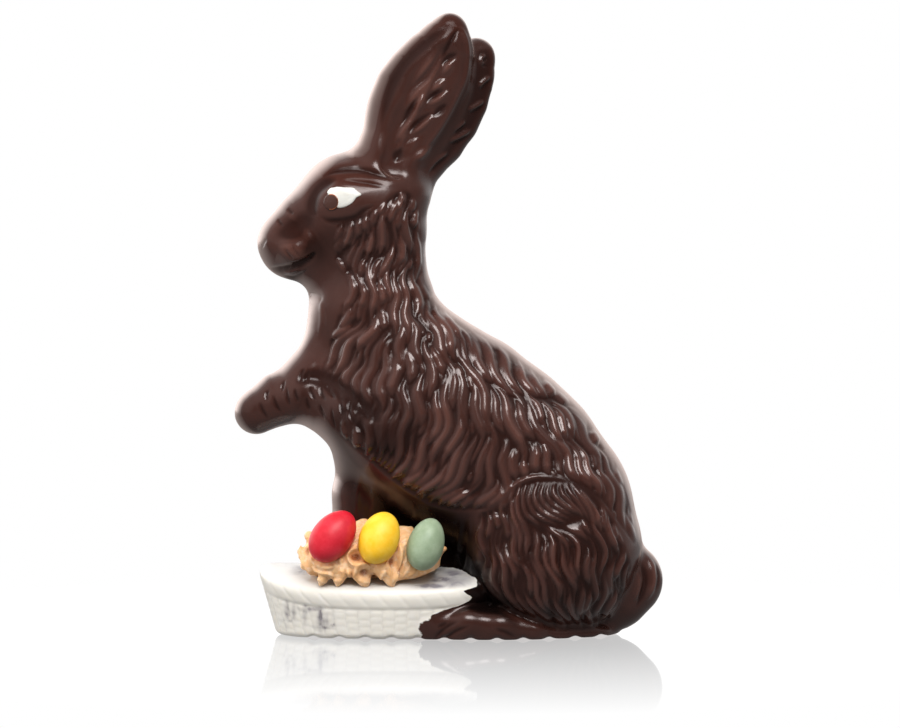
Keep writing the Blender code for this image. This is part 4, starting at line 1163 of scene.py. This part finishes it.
# ============================================================ floor and light
bm = bmesh.new()
bmesh.ops.create_grid(bm, x_segments=2, y_segments=2, size=6.0)
me = bpy.data.meshes.new("floor")
bm.to_mesh(me)
bm.free()
floor = bpy.data.objects.new("floor", me)
floor.location.z = -0.0001
bpy.context.collection.objects.link(floor)
n = Nodes("pale_floor")
seen = n.add("ShaderNodeEmission", Color=(1, 1, 1), Strength=1.0)
lit = n.add("ShaderNodeEmission", Color=(1, 1, 1), Strength=FLOOR_GLOW)
gloss = n.add("ShaderNodeBsdfGlossy", Color=(1, 1, 1), Roughness=0.035)
away = n.math("POWER", n.add("ShaderNodeVectorMath", _operation="LENGTH", **{"0": n.coords((1.0, 1.0, 0.0))}).outputs["Value"], 1.0)
share = n.add("ShaderNodeMapRange", Value=away, From__Min=0.03, From__Max=0.27, To__Min=0.52, To__Max=0.0).outputs[0]
shiny = n.add("ShaderNodeMixShader", **{"0": share, "1": seen.outputs[0], "2": gloss.outputs[0]})
to_camera = n.add("ShaderNodeLightPath").outputs["Is Camera Ray"]
n.put(n.out, "Surface", n.add("ShaderNodeMixShader", **{"0": to_camera, "1": lit.outputs[0], "2": shiny.outputs[0]}).outputs[0])
me.materials.append(n.mat)

n = Nodes("studio", world=True)
d = n.add("ShaderNodeSeparateXYZ", Vector=n.add("ShaderNodeTexCoord").outputs["Generated"])


def panel(value, lo, hi, strength):
    """A bright field of the surroundings that fades in from lo to hi."""
    return n.add("ShaderNodeMapRange", _interpolation_type="SMOOTHSTEP", Value=value, From__Min=lo, From__Max=hi, To__Min=0.0, To__Max=strength).outputs[0]


glow = n.math("MULTIPLY", panel(d.outputs[1], -0.15, 0.75, 1.9), n.math("MULTIPLY_ADD", d.outputs[0], -0.45, 0.62))
glow = n.math("ADD", glow, 0.08)
glow = n.math("ADD", glow, panel(n.math("MULTIPLY", d.outputs[0], -1.0), 0.25, 0.60, 0.45))
glow = n.math("ADD", glow, panel(d.outputs[0], 0.35, 0.75, 0.15))
glow = n.math("ADD", glow, panel(d.outputs[2], 0.15, 0.80, 0.20))
# the room's soft light, which polished skin doesn't mirror
glow = n.math("ADD", glow, n.math("MULTIPLY", n.add("ShaderNodeLightPath").outputs["Is Diffuse Ray"], 0.34))
around = n.add("ShaderNodeBackground", Color=(1, 1, 1), Strength=glow)
backdrop = n.add("ShaderNodeBackground", Color=(1, 1, 1), Strength=1.0)
to_camera = n.add("ShaderNodeLightPath").outputs["Is Camera Ray"]
n.put(n.out, "Surface", n.add("ShaderNodeMixShader", **{"0": to_camera, "1": around.outputs[0], "2": backdrop.outputs[0]}).outputs[0])
bpy.context.scene.world = n.mat


def area(name, place, target, size, size_y, watts, mirrored=True):
    light = bpy.data.lights.new(name, "AREA")
    light.shape, light.size, light.size_y, light.energy = "RECTANGLE", size, size_y, watts
    ob = bpy.data.objects.new(name, light)
    ob.visible_glossy = mirrored
    ob.location = place
    ob.rotation_euler = (Vector(target) - Vector(place)).to_track_quat("-Z", "Y").to_euler()
    bpy.context.collection.objects.link(ob)


area("key_softbox", (0.16, -0.98, 1.08), (0, 0, 0.10), 0.80, 0.55, 20)
area("top_softbox", (-0.1, -0.2, 1.3), (0, 0, 0.10), 0.8, 0.5, 2, False)
area("fill_left", (-1.2, -0.6, 0.5), (0, 0, 0.10), 0.5, 0.9, 8, False)

cam = bpy.data.cameras.new("camera")
camera = bpy.data.objects.new("camera", cam)
bpy.context.collection.objects.link(camera)
camera.location = (0, -1.5, 0.131)
camera.rotation_euler = (Vector((0, 0, 0.0959)) - camera.location).to_track_quat("-Z", "Y").to_euler()
cam.sensor_width, cam.lens = 36, 169
cam.clip_end = 50
bpy.context.scene.camera = camera
bpy.context.scene.view_settings.view_transform = "Standard"
